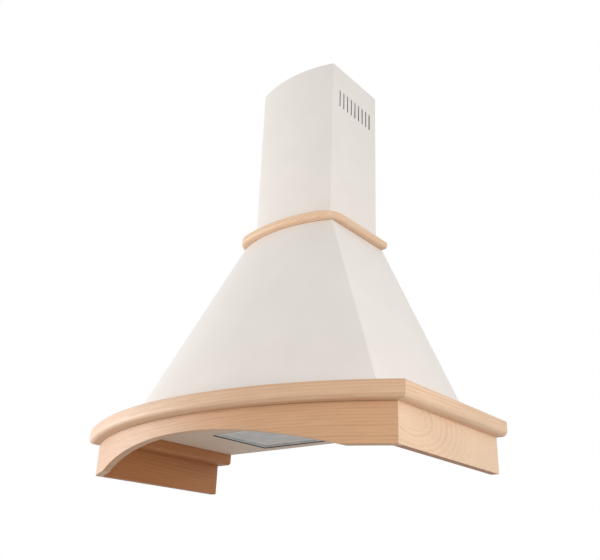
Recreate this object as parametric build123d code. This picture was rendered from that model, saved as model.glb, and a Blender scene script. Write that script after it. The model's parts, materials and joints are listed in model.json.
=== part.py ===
from build123d import *
import os
from math import acos, cos, degrees, radians, sin, sqrt, tan

# Chimney range hood: a painted steel canopy and telescopic chimney on a bow-fronted beech frame.
# Millimetres. X runs to the right seen from the front, the wall is the plane Y = 0 with the hood in front of
# it at negative Y, and Z is up. The origin is the centre of the four wall fixing holes, on the wall.

# Whole hood
WIDTH = 900.0                   # across the cornice
DEPTH = 522.0                   # wall to the middle of the cornice's bowed front
BOW_RADIUS = 865.0              # plan radius of the cornice's bowed front
FIXING_HEIGHT = 400.0           # lower edge of the frieze up to the centre of the fixing holes
SHEET = 1.0                     # steel sheet of the body
BEND_RADIUS = 3.0               # outside radius of the folds in the visible sheets
OVERCUT = 10.0                  # how far a cutting shape runs past what it cuts

# Wooden frame
FRIEZE_HEIGHT = 75.0
FRIEZE_THICKNESS = 18.0
FRIEZE_INSET = 25.0             # frieze face behind the cornice's outer face
ARCH_WIDTH = 671.0              # chord of the arch cut in the front frieze
ARCH_HEIGHT = 42.0
CORNICE_THICKNESS = 32.0
PLANK_WIDTH = 92.0              # cornice plank, outer face to inner face
NOSE_RADIUS = 12.0              # lower outer edge of the cornice
TOP_CHAMFER = 2.0               # upper outer edge of the cornice
INNER_EDGE_RADIUS = 8.0         # lower inner edge of the cornice
DOWEL_RADIUS = 4.0
DOWEL_DEPTH = 18.0              # how deep a dowel enters each board
DOWELS_PER_SIDE = 3
FRONT_DOWEL_PITCH = 150.0
FRONT_DOWELS = 5
MITRE_DOWEL_MARGIN = 24.0       # inner dowel of a mitre from the cornice's inner face
GLUE_GAP = 0.05                 # dowel to the wall of its hole

# Canopy and the tray under it
CANOPY_INSET = 82.0             # canopy's foot behind the cornice's outer face
CANOPY_CORNER_REACH = 4.0       # canopy's front corners, at its foot, ahead of the cornice's bow
CANOPY_RISE = 480.0             # canopy's foot to the collar's underside
CANOPY_SIDE_LEDGE = 18.0        # canopy's top beyond the chimney's sides
CANOPY_CORNER_LEDGE = 17.0      # canopy's front corners beyond the chimney's
CANOPY_TOP_BOW = 30.5           # middle of the canopy's top edge beyond its corners
CANOPY_FLANGE = 22.0            # rim folded out at the canopy's foot, on the cornice
REAR_RETURN = 15.0              # canopy's edges folded in behind the back panel
TRAY_GAP = 1.0                  # tray wall to the cornice's inner face
TRAY_DROP = 5.0                 # tray's lower face below the cornice's top
FIXING_SPACING_X = 250.0
FIXING_SPACING_Z = 260.0
FIXING_HOLE_RADIUS = 4.0
RIVET_RADIUS = 1.6
RIVET_HEAD_RADIUS = 3.2
RIVET_HEAD_HEIGHT = 1.2
RIVETS_PER_SIDE = 4

# Chimney and its collar
CHIMNEY_WIDTH = 248.0
CHIMNEY_SIDE_DEPTH = 196.0      # wall to the front corners
CHIMNEY_BOW = 23.5              # middle of the front beyond its corners
CHIMNEY_HEIGHT = 485.0          # from the canopy's top
CHIMNEY_RETURN = 20.0           # rear edges folded in along the wall
CHIMNEY_FOOT = 12.0             # foot folded in on the canopy's top
SLIDE_GAP = 1.0                 # between the two chimney sections
UPPER_SETBACK = 3.0             # upper section's top below the lower section's top
UPPER_LIFT = 0.3                # upper section's lower edge above the lower section's foot
VENT_COUNT = 9
VENT_PITCH = 17.0
VENT_WIDTH = 5.0
VENT_LENGTH = 52.0
VENT_TOP_GAP = 70.0             # chimney's top down to the vents
COLLAR_THICKNESS = 18.0
COLLAR_OVERHANG = 17.0          # collar's face beyond the canopy's top edge
COLLAR_CORNER = 60.0            # plan radius of the collar's front corners
COLLAR_GAP = 0.5                # collar to the chimney
COLLAR_LOWER_RADIUS = 7.0
COLLAR_UPPER_RADIUS = 3.0
BRACKET_THICKNESS = 2.0
BRACKET_HEIGHT = 25.0
BRACKET_DROP = 12.0             # bracket below the upper section's top
BRACKET_HOLE_SPACING = 120.0
BRACKET_HOLE_RADIUS = 2.5

# Grease filter
FILTER_WIDTH = 392.0
FILTER_DEPTH = 183.0
FILTER_REAR = 39.0              # wall to the filter's rear edge
FILTER_THICKNESS = 9.0
FILTER_GAP = 2.5                # filter to the edge of its opening
FILTER_WALL = 1.2
FILTER_LIP = 9.0
MESH_GAP = 0.2
MESH_PITCH = 15.0
MESH_HOLE = 12.0                # across the corners of a diamond hole
PIVOT_RADIUS = 2.5
PIVOT_CLEARANCE = 0.08
PIVOT_SETBACK = 5.0             # pivot in front of the filter's rear edge
PIVOT_LENGTH = 10.0
CLIP_WIDTH = 6.0
CLIP_DEPTH = 12.0
CLIP_HEIGHT = 9.0
LATCH_CASE_WIDTH = 44.0
LATCH_CASE_WALL = 2.0
LATCH_WIDTH = 24.0
LATCH_LENGTH = 14.0
LATCH_TRAVEL = 6.0
LATCH_SPRING_ROOM = 7.7         # behind the latch, drawn back
LATCH_REACH = 4.0               # bolt over the edge of the tray
LATCH_BOLT_WIDTH = 16.0
LATCH_BOLT_THICKNESS = 3.0
LATCH_TAB_WIDTH = 20.0
LATCH_TAB_DROP = 4.0            # finger tab below the filter
LATCH_TAB_THICKNESS = 4.0
SLIDE_CLEARANCE = 0.3           # latch and buttons in their guides

# Lamps
LAMP_SPREAD = 380.0             # between the two lamps
LAMP_SETBACK = 93.0             # lamp centre behind the middle of the cornice's inner edge
LAMP_HOLE_RADIUS = 29.0
BEZEL_RADIUS = 34.0
BEZEL_THICKNESS = 2.5
BEZEL_WALL = 2.0
BEZEL_HEIGHT = 9.0              # neck of the bezel above the tray's lower face
LENS_LEDGE = 2.0
LENS_THICKNESS = 2.5
LAMP_CAN_RADIUS = 34.0
LAMP_CAN_HEIGHT = 36.0
LAMP_CAN_WALL = 1.5
LED_RADIUS = 20.0
LED_THICKNESS = 3.5

# Switch with its push buttons
SWITCH_SETBACK = 43.0           # switch centre behind the middle of the cornice's inner edge
BUTTON_PITCH = 22.0
BUTTON_WIDTH = 14.0
BUTTON_DEPTH = 11.0
BUTTON_TRAVEL = 3.0
BUTTON_PROUD = 3.0              # button below the switch's trim plate, at rest
BUTTON_FLANGE = 1.5             # shoulder that keeps a button in
BUTTON_FLANGE_THICKNESS = 2.0
BUTTON_STEM = 8.0               # button above its shoulder
BUTTON_EDGE_RADIUS = 1.2
SWITCH_MARGIN = 9.0             # trim plate round the buttons
SWITCH_PLATE = 2.0
SWITCH_WALL = 2.0
CONTACT_ROOM = 4.7              # over the buttons, pressed in

# Blower
DUCT_RADIUS = 74.5              # outside of the spigot, for a 150 mm duct
DUCT_WALL = 2.0
DUCT_CENTRE = 108.0             # wall to the duct's axis
DUCT_RISE = 62.0                # spigot above the canopy's top
OUTLET_DROP = 28.0              # scroll's top below the canopy's top
OUTLET_DEPTH = 96.0             # scroll's outlet, front to back
BLOWER_DROP = 203.0             # impeller's axis below the canopy's top
SCROLL_WALL = 2.0
SCROLL_WIDTH = 104.0            # inside
SCROLL_OPENING = 48.0           # spiral's widest gap round the impeller
TONGUE_GAP = 10.0               # spiral's narrowest gap round the impeller
SCROLL_ARCS = 4
INLET_STEP = 4.0                # inlet's edge inside the ring of blades
INLET_LIP = 4.0
SCROLL_LUG_RADIUS = 6.0
SCROLL_LUG_LENGTH = 20.0
LUG_LAP = 1.0                   # how far a lug sinks into the scroll's wall
SCROLL_LUGS = 4
OUTLET_MARGIN = 5.5             # square outlet flange beyond the duct
OUTLET_FLANGE_THICKNESS = 3.0
IMPELLER_RADIUS = 74.0
BLADE_DEPTH = 14.0
BLADE_THICKNESS = 1.2
BLADE_CURVE = 14.0              # radius of a blade's section
BLADE_COUNT = 36
IMPELLER_GAP = 4.0              # impeller to the side of the scroll
IMPELLER_RING = 2.0
IMPELLER_DISC = 2.0
HUB_RADIUS = 11.0
HUB_LENGTH = 18.0
SHAFT_RADIUS = 4.0
SHAFT_CLEARANCE = 0.05
MOTOR_SPACE = 14.0              # motor to the ring of blades
MOTOR_WALL = 2.0
MOTOR_GAP = 8.0                 # motor's inner end from the middle of the impeller
STATOR_BORE = 26.0
ROTOR_GAP = 0.5
ROTOR_LENGTH = 28.0
BUSH_RADIUS = 9.0
BUSH_LENGTH = 10.0
ARM_COUNT = 3
ARM_WIDTH = 14.0
ARM_THICKNESS = 3.0
GROMMET_RADIUS = 6.0
GROMMET_GAP = 2.0               # grommet to the lip of the inlet
CRADLE_THICKNESS = 2.0
CRADLE_HEIGHT = 70.0
CRADLE_LAP = 36.0               # cradle's arms along the scroll's sides
CRADLE_MARGIN = 12.0            # cradle's screws from its edges
FLAP_THICKNESS = 1.6
FLAP_PIN_RADIUS = 1.5
FLAP_PIN_CLEARANCE = 0.05
FLAP_PIN_OFFSET = 5.0           # each pin from the middle of the duct
FLAP_KNUCKLE_RADIUS = 3.0
FLAP_KNUCKLE_LENGTH = 120.0
FLAP_GAP = 2.0                  # flap's edge to the duct
FLAP_SEAT_GAP = 0.3             # flap to the ledge it closes on
FLAP_DROP = 3.0                 # pins below the canopy's top
LEDGE_WIDTH = 3.5
LEDGE_THICKNESS = 3.0
BAR_WIDTH = 16.0                # bar across the duct under the pins
BAR_THICKNESS = 6.0

# Wiring
TERMINAL_BOX_X = 98.0
TERMINAL_BOX_WIDTH = 60.0
TERMINAL_BOX_DEPTH = 40.0
TERMINAL_BOX_HEIGHT = 70.0
TERMINAL_BOX_WALL = 2.0
TERMINAL_BOX_DROP = 88.0        # its top below the canopy's top
LID_THICKNESS = 2.0
LID_RIM = 5.0
GLAND_BORE_RADIUS = 4.0
GLAND_THREAD_RADIUS = 8.0
GLAND_NUT = 22.0                # across the flats
GLAND_NUT_THICKNESS = 6.0
GLAND_DOME_RADIUS = 9.0
GLAND_DOME_HEIGHT = 14.0
GLAND_LIP = 1.0                 # flat ring round the gland's bore
CAPACITOR_RADIUS = 15.0
CAPACITOR_LENGTH = 55.0
CAPACITOR_X = -98.0
CAPACITOR_DROP = 103.0          # its top below the canopy's top
LOOM_RADIUS = 3.0
LOOM_SPACE = 31.0               # how far to the right the loom passes the filter and the lamp
LOOM_GAP = 0.2                  # loom above the tray
LOOM_FALL = 110.0               # straight down from the terminal box
LOOM_BEND_HEIGHT = 90.0         # where it turns down beside the filter, above the tray
LOOM_FOOT = 30.0                # how far it comes forward as it meets the tray
LOOM_LAMP_GAP = 25.0            # its corners beyond the lamp's centre
LOOM_ARC_SHARE = 0.45           # share of the shorter run that each bend takes

# Screws: shank radius, length under the head
SCREW_CLEARANCE = 0.05
HEAD_RATIO = 2.0                # head radius to shank radius
HEAD_HEIGHT_RATIO = 1.2         # head height to shank radius
WOOD_SCREW = (1.8, 14.0)
FRAME_SCREWS_PER_SIDE = 3
FRONT_FRAME_SCREWS = 5
FRONT_FRAME_SCREW_PITCH = 140.0
COLLAR_SCREW_SHARES = (0.3, 0.8)    # along the chimney's side, from the wall
FOOT_SCREW = (1.6, 4.0)
FOOT_SCREW_SHARES = (0.25, 0.75)
BRACKET_SCREW = (1.8, 3.0)
CRADLE_WALL_SCREW = (2.0, 3.0)
CRADLE_SIDE_SCREW = (2.0, 5.0)
SCROLL_SCREW = (1.8, 40.0)
MOTOR_SCREW = (1.8, 9.0)

# Levels and places that follow from the sizes
Z_FRIEZE = -FIXING_HEIGHT
Z_CORNICE = Z_FRIEZE + FRIEZE_HEIGHT
Z_CORNICE_TOP = Z_CORNICE + CORNICE_THICKNESS
Z_TRAY = Z_CORNICE_TOP - TRAY_DROP
Z_CANOPY = Z_CORNICE_TOP + SHEET
Z_CANOPY_TOP = Z_CANOPY + CANOPY_RISE
Z_COLLAR_TOP = Z_CANOPY_TOP + COLLAR_THICKNESS
Z_CHIMNEY_TOP = Z_CANOPY_TOP + CHIMNEY_HEIGHT
BOW_CENTRE_Y = BOW_RADIUS - DEPTH
FLANGE_INSET = CANOPY_INSET - CANOPY_FLANGE
TRAY_INSET = PLANK_WIDTH + TRAY_GAP
TRAY_FRONT_Y = -(DEPTH - PLANK_WIDTH)
Z_TRAY_TOP = Z_TRAY + SHEET
BASE_HALF_WIDTH = WIDTH / 2 - CANOPY_INSET
CHIMNEY_DEPTH = CHIMNEY_SIDE_DEPTH + CHIMNEY_BOW
TOP_HALF_WIDTH = CHIMNEY_WIDTH / 2 + CANOPY_SIDE_LEDGE
CANOPY_TOP_SIDE_DEPTH = CHIMNEY_SIDE_DEPTH + CANOPY_CORNER_LEDGE
CANOPY_TOP_DEPTH = CANOPY_TOP_SIDE_DEPTH + CANOPY_TOP_BOW

# Directions that screws and rivets run
DOWN, UP = (0, 0, -1), (0, 0, 1)
FORWARD, BACK = (0, -1, 0), (0, 1, 0)
LEFT = (-1, 0, 0)


# Shapes used again and again

def block(x, y, z):
    """Box between pairs of limits along X, Y and Z."""
    corner = Pos(min(x), min(y), min(z))
    return corner * Box(max(x) - min(x), max(y) - min(y), max(z) - min(z), align=(Align.MIN,) * 3)


def rod(radius, start, end):
    """Round bar between two points."""
    start, end = Vector(*start), Vector(*end)
    return extrude(Plane(origin=start, z_dir=end - start) * Circle(radius), amount=(end - start).length)


def prism(face, low, high):
    """Plan face raised from one level to another."""
    return extrude(Pos(0, 0, low) * face, amount=high - low)


def moved(point, way, distance):
    """Point moved along a direction."""
    return tuple(p + w * distance for p, w in zip(point, way))


def screw(seat, way, size):
    """Pan-head screw whose head sits at seat and whose shank runs along way."""
    radius, length = size
    head = rod(radius * HEAD_RATIO, moved(seat, way, -radius * HEAD_HEIGHT_RATIO), seat)
    return head + rod(radius, seat, moved(seat, way, length))


def screw_holes(seats, way, size):
    """Holes for the shanks of screws, run out past their heads."""
    radius, length = size
    ends = [(moved(seat, way, -SHEET / 2), moved(seat, way, length)) for seat in seats]
    return [rod(radius + SCREW_CLEARANCE, start, end) for start, end in ends]


def group(solids):
    """Like pieces kept together as separate solids."""
    return Compound(children=list(solids))


def plan(half_width, side_depth, front_depth, rear=0.0, corner=0.0):
    """Plan outline with straight sides, a bowed front and a straight rear edge."""
    left, right = (-half_width, -side_depth), (half_width, -side_depth)
    outline = Curve() + [
        Line((-half_width, rear), left),
        ThreePointArc(left, (0, -front_depth), right),
        Line(right, (half_width, rear)),
        Line((half_width, rear), (-half_width, rear)),
    ]
    face = make_face(outline)
    if corner:
        face = fillet(face.vertices().group_by(Axis.Y)[0], corner)
    return face


def bow_y(x, inset):
    """Y of the bowed front, moved in from the cornice's outer face, at some X."""
    return BOW_CENTRE_Y - sqrt((BOW_RADIUS - inset) ** 2 - x ** 2)


def bow_plan(inset, rear=0.0, corner=0.0):
    """Plan outline parallel to the cornice's outer face."""
    half_width = WIDTH / 2 - inset
    return plan(half_width, -bow_y(half_width, inset), DEPTH - inset, rear, corner)


def front_places(count, pitch, inset):
    """Points along the bowed front, evenly spaced across the hood."""
    across = [(i - (count - 1) / 2) * pitch for i in range(count)]
    return [(x, bow_y(x, inset)) for x in across]


def side_places(count, inset):
    """Points along both straight sides, evenly spaced from the wall to the front corner."""
    x = WIDTH / 2 - inset
    depth = -bow_y(x, inset)
    return [(side * x, -depth * (i + 0.5) / count) for side in (-1, 1) for i in range(count)]


def left_and_right(pair):
    """The two solids of a symmetric pair, left one first."""
    return pair.solids().sort_by(Axis.X)


# Wooden frame

def mitre_ends(outer_inset, inner_inset):
    """Outer and inner end, in plan, of the mitre at a frame's right front corner."""
    across = [WIDTH / 2 - inset for inset in (outer_inset, inner_inset)]
    return [(x, bow_y(x, WIDTH / 2 - x)) for x in across]


def mitre_wedge(outer_inset, inner_inset):
    """Everything in front of the two mitre cuts between a frame's front and its sides."""
    (x_out, y_out), (x_in, y_in) = mitre_ends(outer_inset, inner_inset)
    slope = (y_out - y_in) / (x_out - x_in)
    apex = y_in - slope * x_in
    far_y = apex + slope * WIDTH
    front_y = far_y - DEPTH
    right, left = [(WIDTH, far_y), (WIDTH, front_y)], [(-WIDTH, front_y), (-WIDTH, far_y)]
    outline = Polyline((0, apex), *right, *left, close=True)
    return prism(make_face(outline), Z_FRIEZE - OVERCUT, Z_CORNICE_TOP + OVERCUT)


def cornice_profile():
    """Section of the cornice plank, with X inwards from its outer face and Y up from its underside."""
    section = Pos(PLANK_WIDTH / 2, CORNICE_THICKNESS / 2) * Rectangle(PLANK_WIDTH, CORNICE_THICKNESS)
    for corner, radius in (((0, 0, 0), NOSE_RADIUS), ((PLANK_WIDTH, 0, 0), INNER_EDGE_RADIUS)):
        section = fillet(section.vertices().sort_by_distance(corner)[0], radius)
    return chamfer(section.vertices().sort_by_distance((0, CORNICE_THICKNESS, 0))[0], TOP_CHAMFER)


def cornice_front():
    """Bowed front plank between its two mitres."""
    axis = Axis((0, BOW_CENTRE_Y, 0), (0, 0, 1))
    section = Plane(origin=(0, -DEPTH, Z_CORNICE), x_dir=(0, 1, 0), z_dir=(1, 0, 0)) * cornice_profile()
    half_ring = revolve(section, axis=axis, revolution_arc=180).rotate(axis, -90)
    return half_ring & mitre_wedge(0, PLANK_WIDTH)


def cornice_right():
    """Straight plank on the right."""
    section = Plane(origin=(WIDTH / 2, 0, Z_CORNICE), x_dir=(-1, 0, 0), z_dir=(0, 1, 0)) * cornice_profile()
    return extrude(section, amount=-DEPTH) - mitre_wedge(0, PLANK_WIDTH)


def frieze_ring():
    """Upright boards under the cornice, before they are cut apart at the mitres."""
    inner = bow_plan(FRIEZE_INSET + FRIEZE_THICKNESS, rear=OVERCUT)
    return prism(bow_plan(FRIEZE_INSET) - inner, Z_FRIEZE, Z_CORNICE)


def arch():
    """Cylinder that cuts the arch in the front board."""
    radius = ((ARCH_WIDTH / 2) ** 2 + ARCH_HEIGHT ** 2) / (2 * ARCH_HEIGHT)
    return extrude(Plane.XZ * Pos(0, Z_FRIEZE + ARCH_HEIGHT - radius) * Circle(radius), amount=DEPTH)


def mitre_dowels(gap):
    """Two level dowels across each of the cornice's mitres."""
    outer, inner = [Vector(x, y, Z_CORNICE) for x, y in mitre_ends(0, PLANK_WIDTH)]
    along = inner - outer
    half = along.cross(Vector(*UP)).normalized() * (DOWEL_DEPTH + gap)
    over_nose = NOSE_RADIUS + DOWEL_RADIUS
    spots = ((over_nose, over_nose), (PLANK_WIDTH - MITRE_DOWEL_MARGIN, CORNICE_THICKNESS / 2))
    middles = [outer + along * (inset / PLANK_WIDTH) + Vector(0, 0, rise) for inset, rise in spots]
    right = [rod(DOWEL_RADIUS + gap, middle - half, middle + half) for middle in middles]
    return right + [mirror(dowel, about=Plane.YZ) for dowel in right]


def dowels(gap=0.0):
    """Dowels between the frieze and the cornice and across the mitres, or their holes with the glue gap."""
    inset = FRIEZE_INSET + FRIEZE_THICKNESS / 2
    places = side_places(DOWELS_PER_SIDE, inset) + front_places(FRONT_DOWELS, FRONT_DOWEL_PITCH, inset)
    low, high = Z_CORNICE - DOWEL_DEPTH - gap, Z_CORNICE + DOWEL_DEPTH + gap
    upright = [rod(DOWEL_RADIUS + gap, (x, y, low), (x, y, high)) for x, y in places]
    return upright + mitre_dowels(gap)


FRAME_SCREW_INSET = (FLANGE_INSET + CANOPY_INSET) / 2
FRAME_SCREW_SEATS = [
    (x, y, Z_CANOPY + SHEET)
    for x, y in side_places(FRAME_SCREWS_PER_SIDE, FRAME_SCREW_INSET)
    + front_places(FRONT_FRAME_SCREWS, FRONT_FRAME_SCREW_PITCH, FRAME_SCREW_INSET)
]


def wooden_frame():
    """Six mitred boards, their dowels, and the wood screws of this frame and of the collar."""
    dowel_holes = dowels(GLUE_GAP)
    pilot_holes = screw_holes(FRAME_SCREW_SEATS, DOWN, WOOD_SCREW)
    front, right = [plank - dowel_holes - pilot_holes for plank in (cornice_front(), cornice_right())]
    boards = frieze_ring() - dowel_holes
    wedge = mitre_wedge(FRIEZE_INSET, FRIEZE_INSET + FRIEZE_THICKNESS)
    left_board, right_board = left_and_right(boards - wedge)
    return {
        "cornice_front": front,
        "cornice_left": mirror(right, about=Plane.YZ),
        "cornice_right": right,
        "frieze_front": (boards & wedge) - arch(),
        "frieze_left": left_board,
        "frieze_right": right_board,
        "frame_dowels": group(dowels()),
        "wood_screws": group(
            [screw(seat, DOWN, WOOD_SCREW) for seat in FRAME_SCREW_SEATS]
            + [screw(seat, UP, WOOD_SCREW) for seat in COLLAR_SCREW_SEATS]
        ),
    }


# Canopy, back panel and tray

def canopy_foot_plan(inset, rear, corner=0.0):
    """Plan of the canopy's foot, moved in by some width."""
    side_depth = CANOPY_CORNER_REACH - bow_y(BASE_HALF_WIDTH, CANOPY_INSET)
    depth = DEPTH - CANOPY_INSET
    return plan(BASE_HALF_WIDTH - inset, side_depth - inset, depth - inset, rear, corner)


def canopy_top_plan(inset, rear, corner=0.0):
    """Plan of the canopy's top, moved in by some width."""
    side_depth, depth = CANOPY_TOP_SIDE_DEPTH - inset, CANOPY_TOP_DEPTH - inset
    return plan(TOP_HALF_WIDTH - inset, side_depth, depth, rear, corner)


def canopy_body(inset, rear):
    """Flared body between the canopy's foot and top, moved in by some thickness."""
    foot = canopy_foot_plan(inset, rear, BEND_RADIUS)
    top = canopy_top_plan(inset, rear, BEND_RADIUS)
    return loft([Pos(0, 0, Z_CANOPY) * foot, Pos(0, 0, Z_CANOPY_TOP) * top], ruled=True)


def back_outline(inset):
    """Outline of the canopy's back on the wall, with its slanting sides moved in."""
    foot, top = BASE_HALF_WIDTH - inset, TOP_HALF_WIDTH - inset
    corners = [(-foot, Z_CANOPY), (foot, Z_CANOPY), (top, Z_CANOPY_TOP), (-top, Z_CANOPY_TOP)]
    return make_face(Polyline(*corners, close=True))


def rivet_places():
    """Points on the wall plane along the canopy's slanting rear edges."""
    places = []
    for i in range(RIVETS_PER_SIDE):
        share = (i + 0.5) / RIVETS_PER_SIDE
        x = BASE_HALF_WIDTH + (TOP_HALF_WIDTH - BASE_HALF_WIDTH) * share - REAR_RETURN / 2 - SHEET
        z = Z_CANOPY + CANOPY_RISE * share
        places += [(-x, 0, z), (x, 0, z)]
    return places


def rivet(place):
    """Rivet flush with the back panel, with its head inside."""
    inside = moved(place, FORWARD, 2 * SHEET)
    head = rod(RIVET_HEAD_RADIUS, inside, moved(inside, FORWARD, RIVET_HEAD_HEIGHT))
    return rod(RIVET_RADIUS, place, inside) + head


def rivet_holes():
    """Holes for the rivets through both sheets."""
    radius = RIVET_RADIUS + SCREW_CLEARANCE
    ends = [(moved(place, BACK, SHEET), moved(place, FORWARD, 3 * SHEET)) for place in rivet_places()]
    return [rod(radius, start, end) for start, end in ends]


def canopy_shell():
    """Folded sheet: bowed front, two flat sides, a rim at the top, a flange at the foot and rear returns."""
    walls = canopy_body(0, -SHEET) - canopy_body(SHEET, OVERCUT)
    rim_plan = canopy_top_plan(0, -SHEET) - chimney_plan(SHEET + CHIMNEY_FOOT, OVERCUT)
    rim = prism(rim_plan, Z_CANOPY_TOP - SHEET, Z_CANOPY_TOP)
    flange_plan = bow_plan(FLANGE_INSET, -SHEET) - canopy_foot_plan(SHEET, OVERCUT)
    flange = prism(flange_plan, Z_CANOPY, Z_CANOPY + SHEET)
    returns = extrude(Plane.XZ.offset(SHEET) * (back_outline(0) - back_outline(REAR_RETURN)), amount=SHEET)
    shell = walls + rim + flange + returns
    shell -= screw_holes(FRAME_SCREW_SEATS, DOWN, WOOD_SCREW) + rivet_holes()
    shell -= screw_holes(COLLAR_SCREW_SEATS, UP, WOOD_SCREW) + screw_holes(FOOT_SCREW_SEATS, DOWN, FOOT_SCREW)
    return shell


FIXING_PLACES = [
    (sx * FIXING_SPACING_X / 2, 0, sz * FIXING_SPACING_Z / 2) for sx in (-1, 1) for sz in (-1, 1)
]


def back_panel():
    """Flat sheet against the wall with the four fixing holes."""
    panel = extrude(Plane.XZ * back_outline(0), amount=SHEET)
    panel -= [
        rod(FIXING_HOLE_RADIUS, moved(place, BACK, SHEET), moved(place, FORWARD, 2 * SHEET))
        for place in FIXING_PLACES
    ]
    return panel - rivet_holes() - screw_holes(CRADLE_WALL_SEATS, BACK, CRADLE_WALL_SCREW)


def underside_tray():
    """Shallow tray that closes the canopy from below, with openings for filter, lamps and switch."""
    rim = prism(bow_plan(FLANGE_INSET + SHEET), Z_CORNICE_TOP, Z_CANOPY)
    tray = rim + prism(bow_plan(TRAY_INSET), Z_TRAY, Z_CANOPY)
    tray -= prism(bow_plan(TRAY_INSET + SHEET, -SHEET), Z_TRAY_TOP, Z_CANOPY + OVERCUT)
    through = (Z_TRAY - OVERCUT, Z_TRAY_TOP + OVERCUT)
    tray -= block(
        (-FILTER_WIDTH / 2 - FILTER_GAP, FILTER_WIDTH / 2 + FILTER_GAP),
        (FILTER_REAR_Y + FILTER_GAP, FILTER_FRONT_Y - FILTER_GAP),
        through,
    )
    tray -= [rod(LAMP_HOLE_RADIUS, (x, LAMP_Y, through[0]), (x, LAMP_Y, through[1])) for x in LAMP_PLACES]
    tray -= block(
        (-SWITCH_HALF_WIDTH + SWITCH_MARGIN / 2, SWITCH_HALF_WIDTH - SWITCH_MARGIN / 2),
        (SWITCH_Y - BUTTON_DEPTH / 2 - BUTTON_FLANGE, SWITCH_Y + BUTTON_DEPTH / 2 + BUTTON_FLANGE),
        through,
    )
    return tray - screw_holes(FRAME_SCREW_SEATS, DOWN, WOOD_SCREW)


# Chimney and collar

def chimney_plan(offset, rear):
    """Plan of a chimney section, moved in from the lower section's outer face."""
    return plan(
        CHIMNEY_WIDTH / 2 - offset, CHIMNEY_SIDE_DEPTH - offset, CHIMNEY_DEPTH - offset, rear, BEND_RADIUS
    )


def vents(top):
    """Upright slots through both sides of a chimney section."""
    middle = -CHIMNEY_SIDE_DEPTH / 2
    slot = Rot(0, 0, 90) * SlotOverall(VENT_LENGTH, VENT_WIDTH)
    row = [
        Pos(middle + (i - (VENT_COUNT - 1) / 2) * VENT_PITCH, top - VENT_TOP_GAP - VENT_LENGTH / 2) * slot
        for i in range(VENT_COUNT)
    ]
    return extrude(Plane.YZ * (Sketch() + row), amount=CHIMNEY_WIDTH, both=True)


def chimney_section(offset, low, high):
    """Folded sheet open at the back, with its rear edges folded in along the wall and vents near its top."""
    walls = prism(chimney_plan(offset, -offset) - chimney_plan(offset + SHEET, OVERCUT), low, high)
    outer = CHIMNEY_WIDTH / 2 - offset
    returns = [
        block((side * (outer - CHIMNEY_RETURN), side * outer), (-offset - SHEET, -offset), (low, high))
        for side in (-1, 1)
    ]
    return walls + returns - vents(high)


UPPER_OFFSET = SHEET + SLIDE_GAP
UPPER_LOW = Z_CANOPY_TOP + SHEET + UPPER_LIFT
UPPER_HIGH = Z_CHIMNEY_TOP - UPPER_SETBACK
FOOT_SCREW_SEATS = [
    (side * (CHIMNEY_WIDTH / 2 - SHEET - CHIMNEY_FOOT / 2), -CHIMNEY_SIDE_DEPTH * share, Z_CANOPY_TOP + SHEET)
    for side in (-1, 1)
    for share in FOOT_SCREW_SHARES
]
COLLAR_MIDDLE_X = (CHIMNEY_WIDTH / 2 + TOP_HALF_WIDTH) / 2
COLLAR_SCREW_SEATS = [
    (side * COLLAR_MIDDLE_X, -CHIMNEY_SIDE_DEPTH * share, Z_CANOPY_TOP - SHEET)
    for side in (-1, 1)
    for share in COLLAR_SCREW_SHARES
] + [(0, -(CHIMNEY_DEPTH + CANOPY_TOP_DEPTH) / 2, Z_CANOPY_TOP - SHEET)]


def chimney_lower():
    """Visible chimney section, standing on the canopy's top on a foot folded inwards."""
    foot_plan = chimney_plan(0, 0) - chimney_plan(SHEET + CHIMNEY_FOOT, OVERCUT)
    foot = prism(foot_plan, Z_CANOPY_TOP, Z_CANOPY_TOP + SHEET)
    section = chimney_section(0, Z_CANOPY_TOP, Z_CHIMNEY_TOP) + foot
    return section - screw_holes(FOOT_SCREW_SEATS, DOWN, FOOT_SCREW)


BRACKET_LEG_Y = -UPPER_OFFSET - SHEET - BRACKET_THICKNESS / 2
BRACKET_LEG_OUT = CHIMNEY_WIDTH / 2 - UPPER_OFFSET - SHEET - SLIDE_GAP
BRACKET_LEG_IN = CHIMNEY_WIDTH / 2 - UPPER_OFFSET - CHIMNEY_RETURN - SLIDE_GAP
BRACKET_FACE_OUT = BRACKET_LEG_IN - CHIMNEY_RETURN / 2
BRACKET_HIGH = UPPER_HIGH - BRACKET_DROP
BRACKET_MIDDLE = BRACKET_HIGH - BRACKET_HEIGHT / 2
BRACKET_SCREW_SEATS = [
    (side * (BRACKET_LEG_OUT + BRACKET_LEG_IN) / 2, BRACKET_LEG_Y - BRACKET_THICKNESS / 2, BRACKET_MIDDLE)
    for side in (-1, 1)
]


def chimney_bracket():
    """Strip screwed to the wall, cranked forwards at both ends to hold the upper section's rear edges."""
    face_y = -BRACKET_THICKNESS / 2
    line = Polyline(
        (-BRACKET_LEG_OUT, BRACKET_LEG_Y),
        (-BRACKET_LEG_IN, BRACKET_LEG_Y),
        (-BRACKET_FACE_OUT, face_y),
        (BRACKET_FACE_OUT, face_y),
        (BRACKET_LEG_IN, BRACKET_LEG_Y),
        (BRACKET_LEG_OUT, BRACKET_LEG_Y),
    )
    strip = prism(trace(line, BRACKET_THICKNESS), BRACKET_HIGH - BRACKET_HEIGHT, BRACKET_HIGH)
    strip -= [
        rod(BRACKET_HOLE_RADIUS, (x, OVERCUT, BRACKET_MIDDLE), (x, -OVERCUT, BRACKET_MIDDLE))
        for x in (-BRACKET_HOLE_SPACING / 2, BRACKET_HOLE_SPACING / 2)
    ]
    return strip - screw_holes(BRACKET_SCREW_SEATS, BACK, BRACKET_SCREW)


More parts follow.
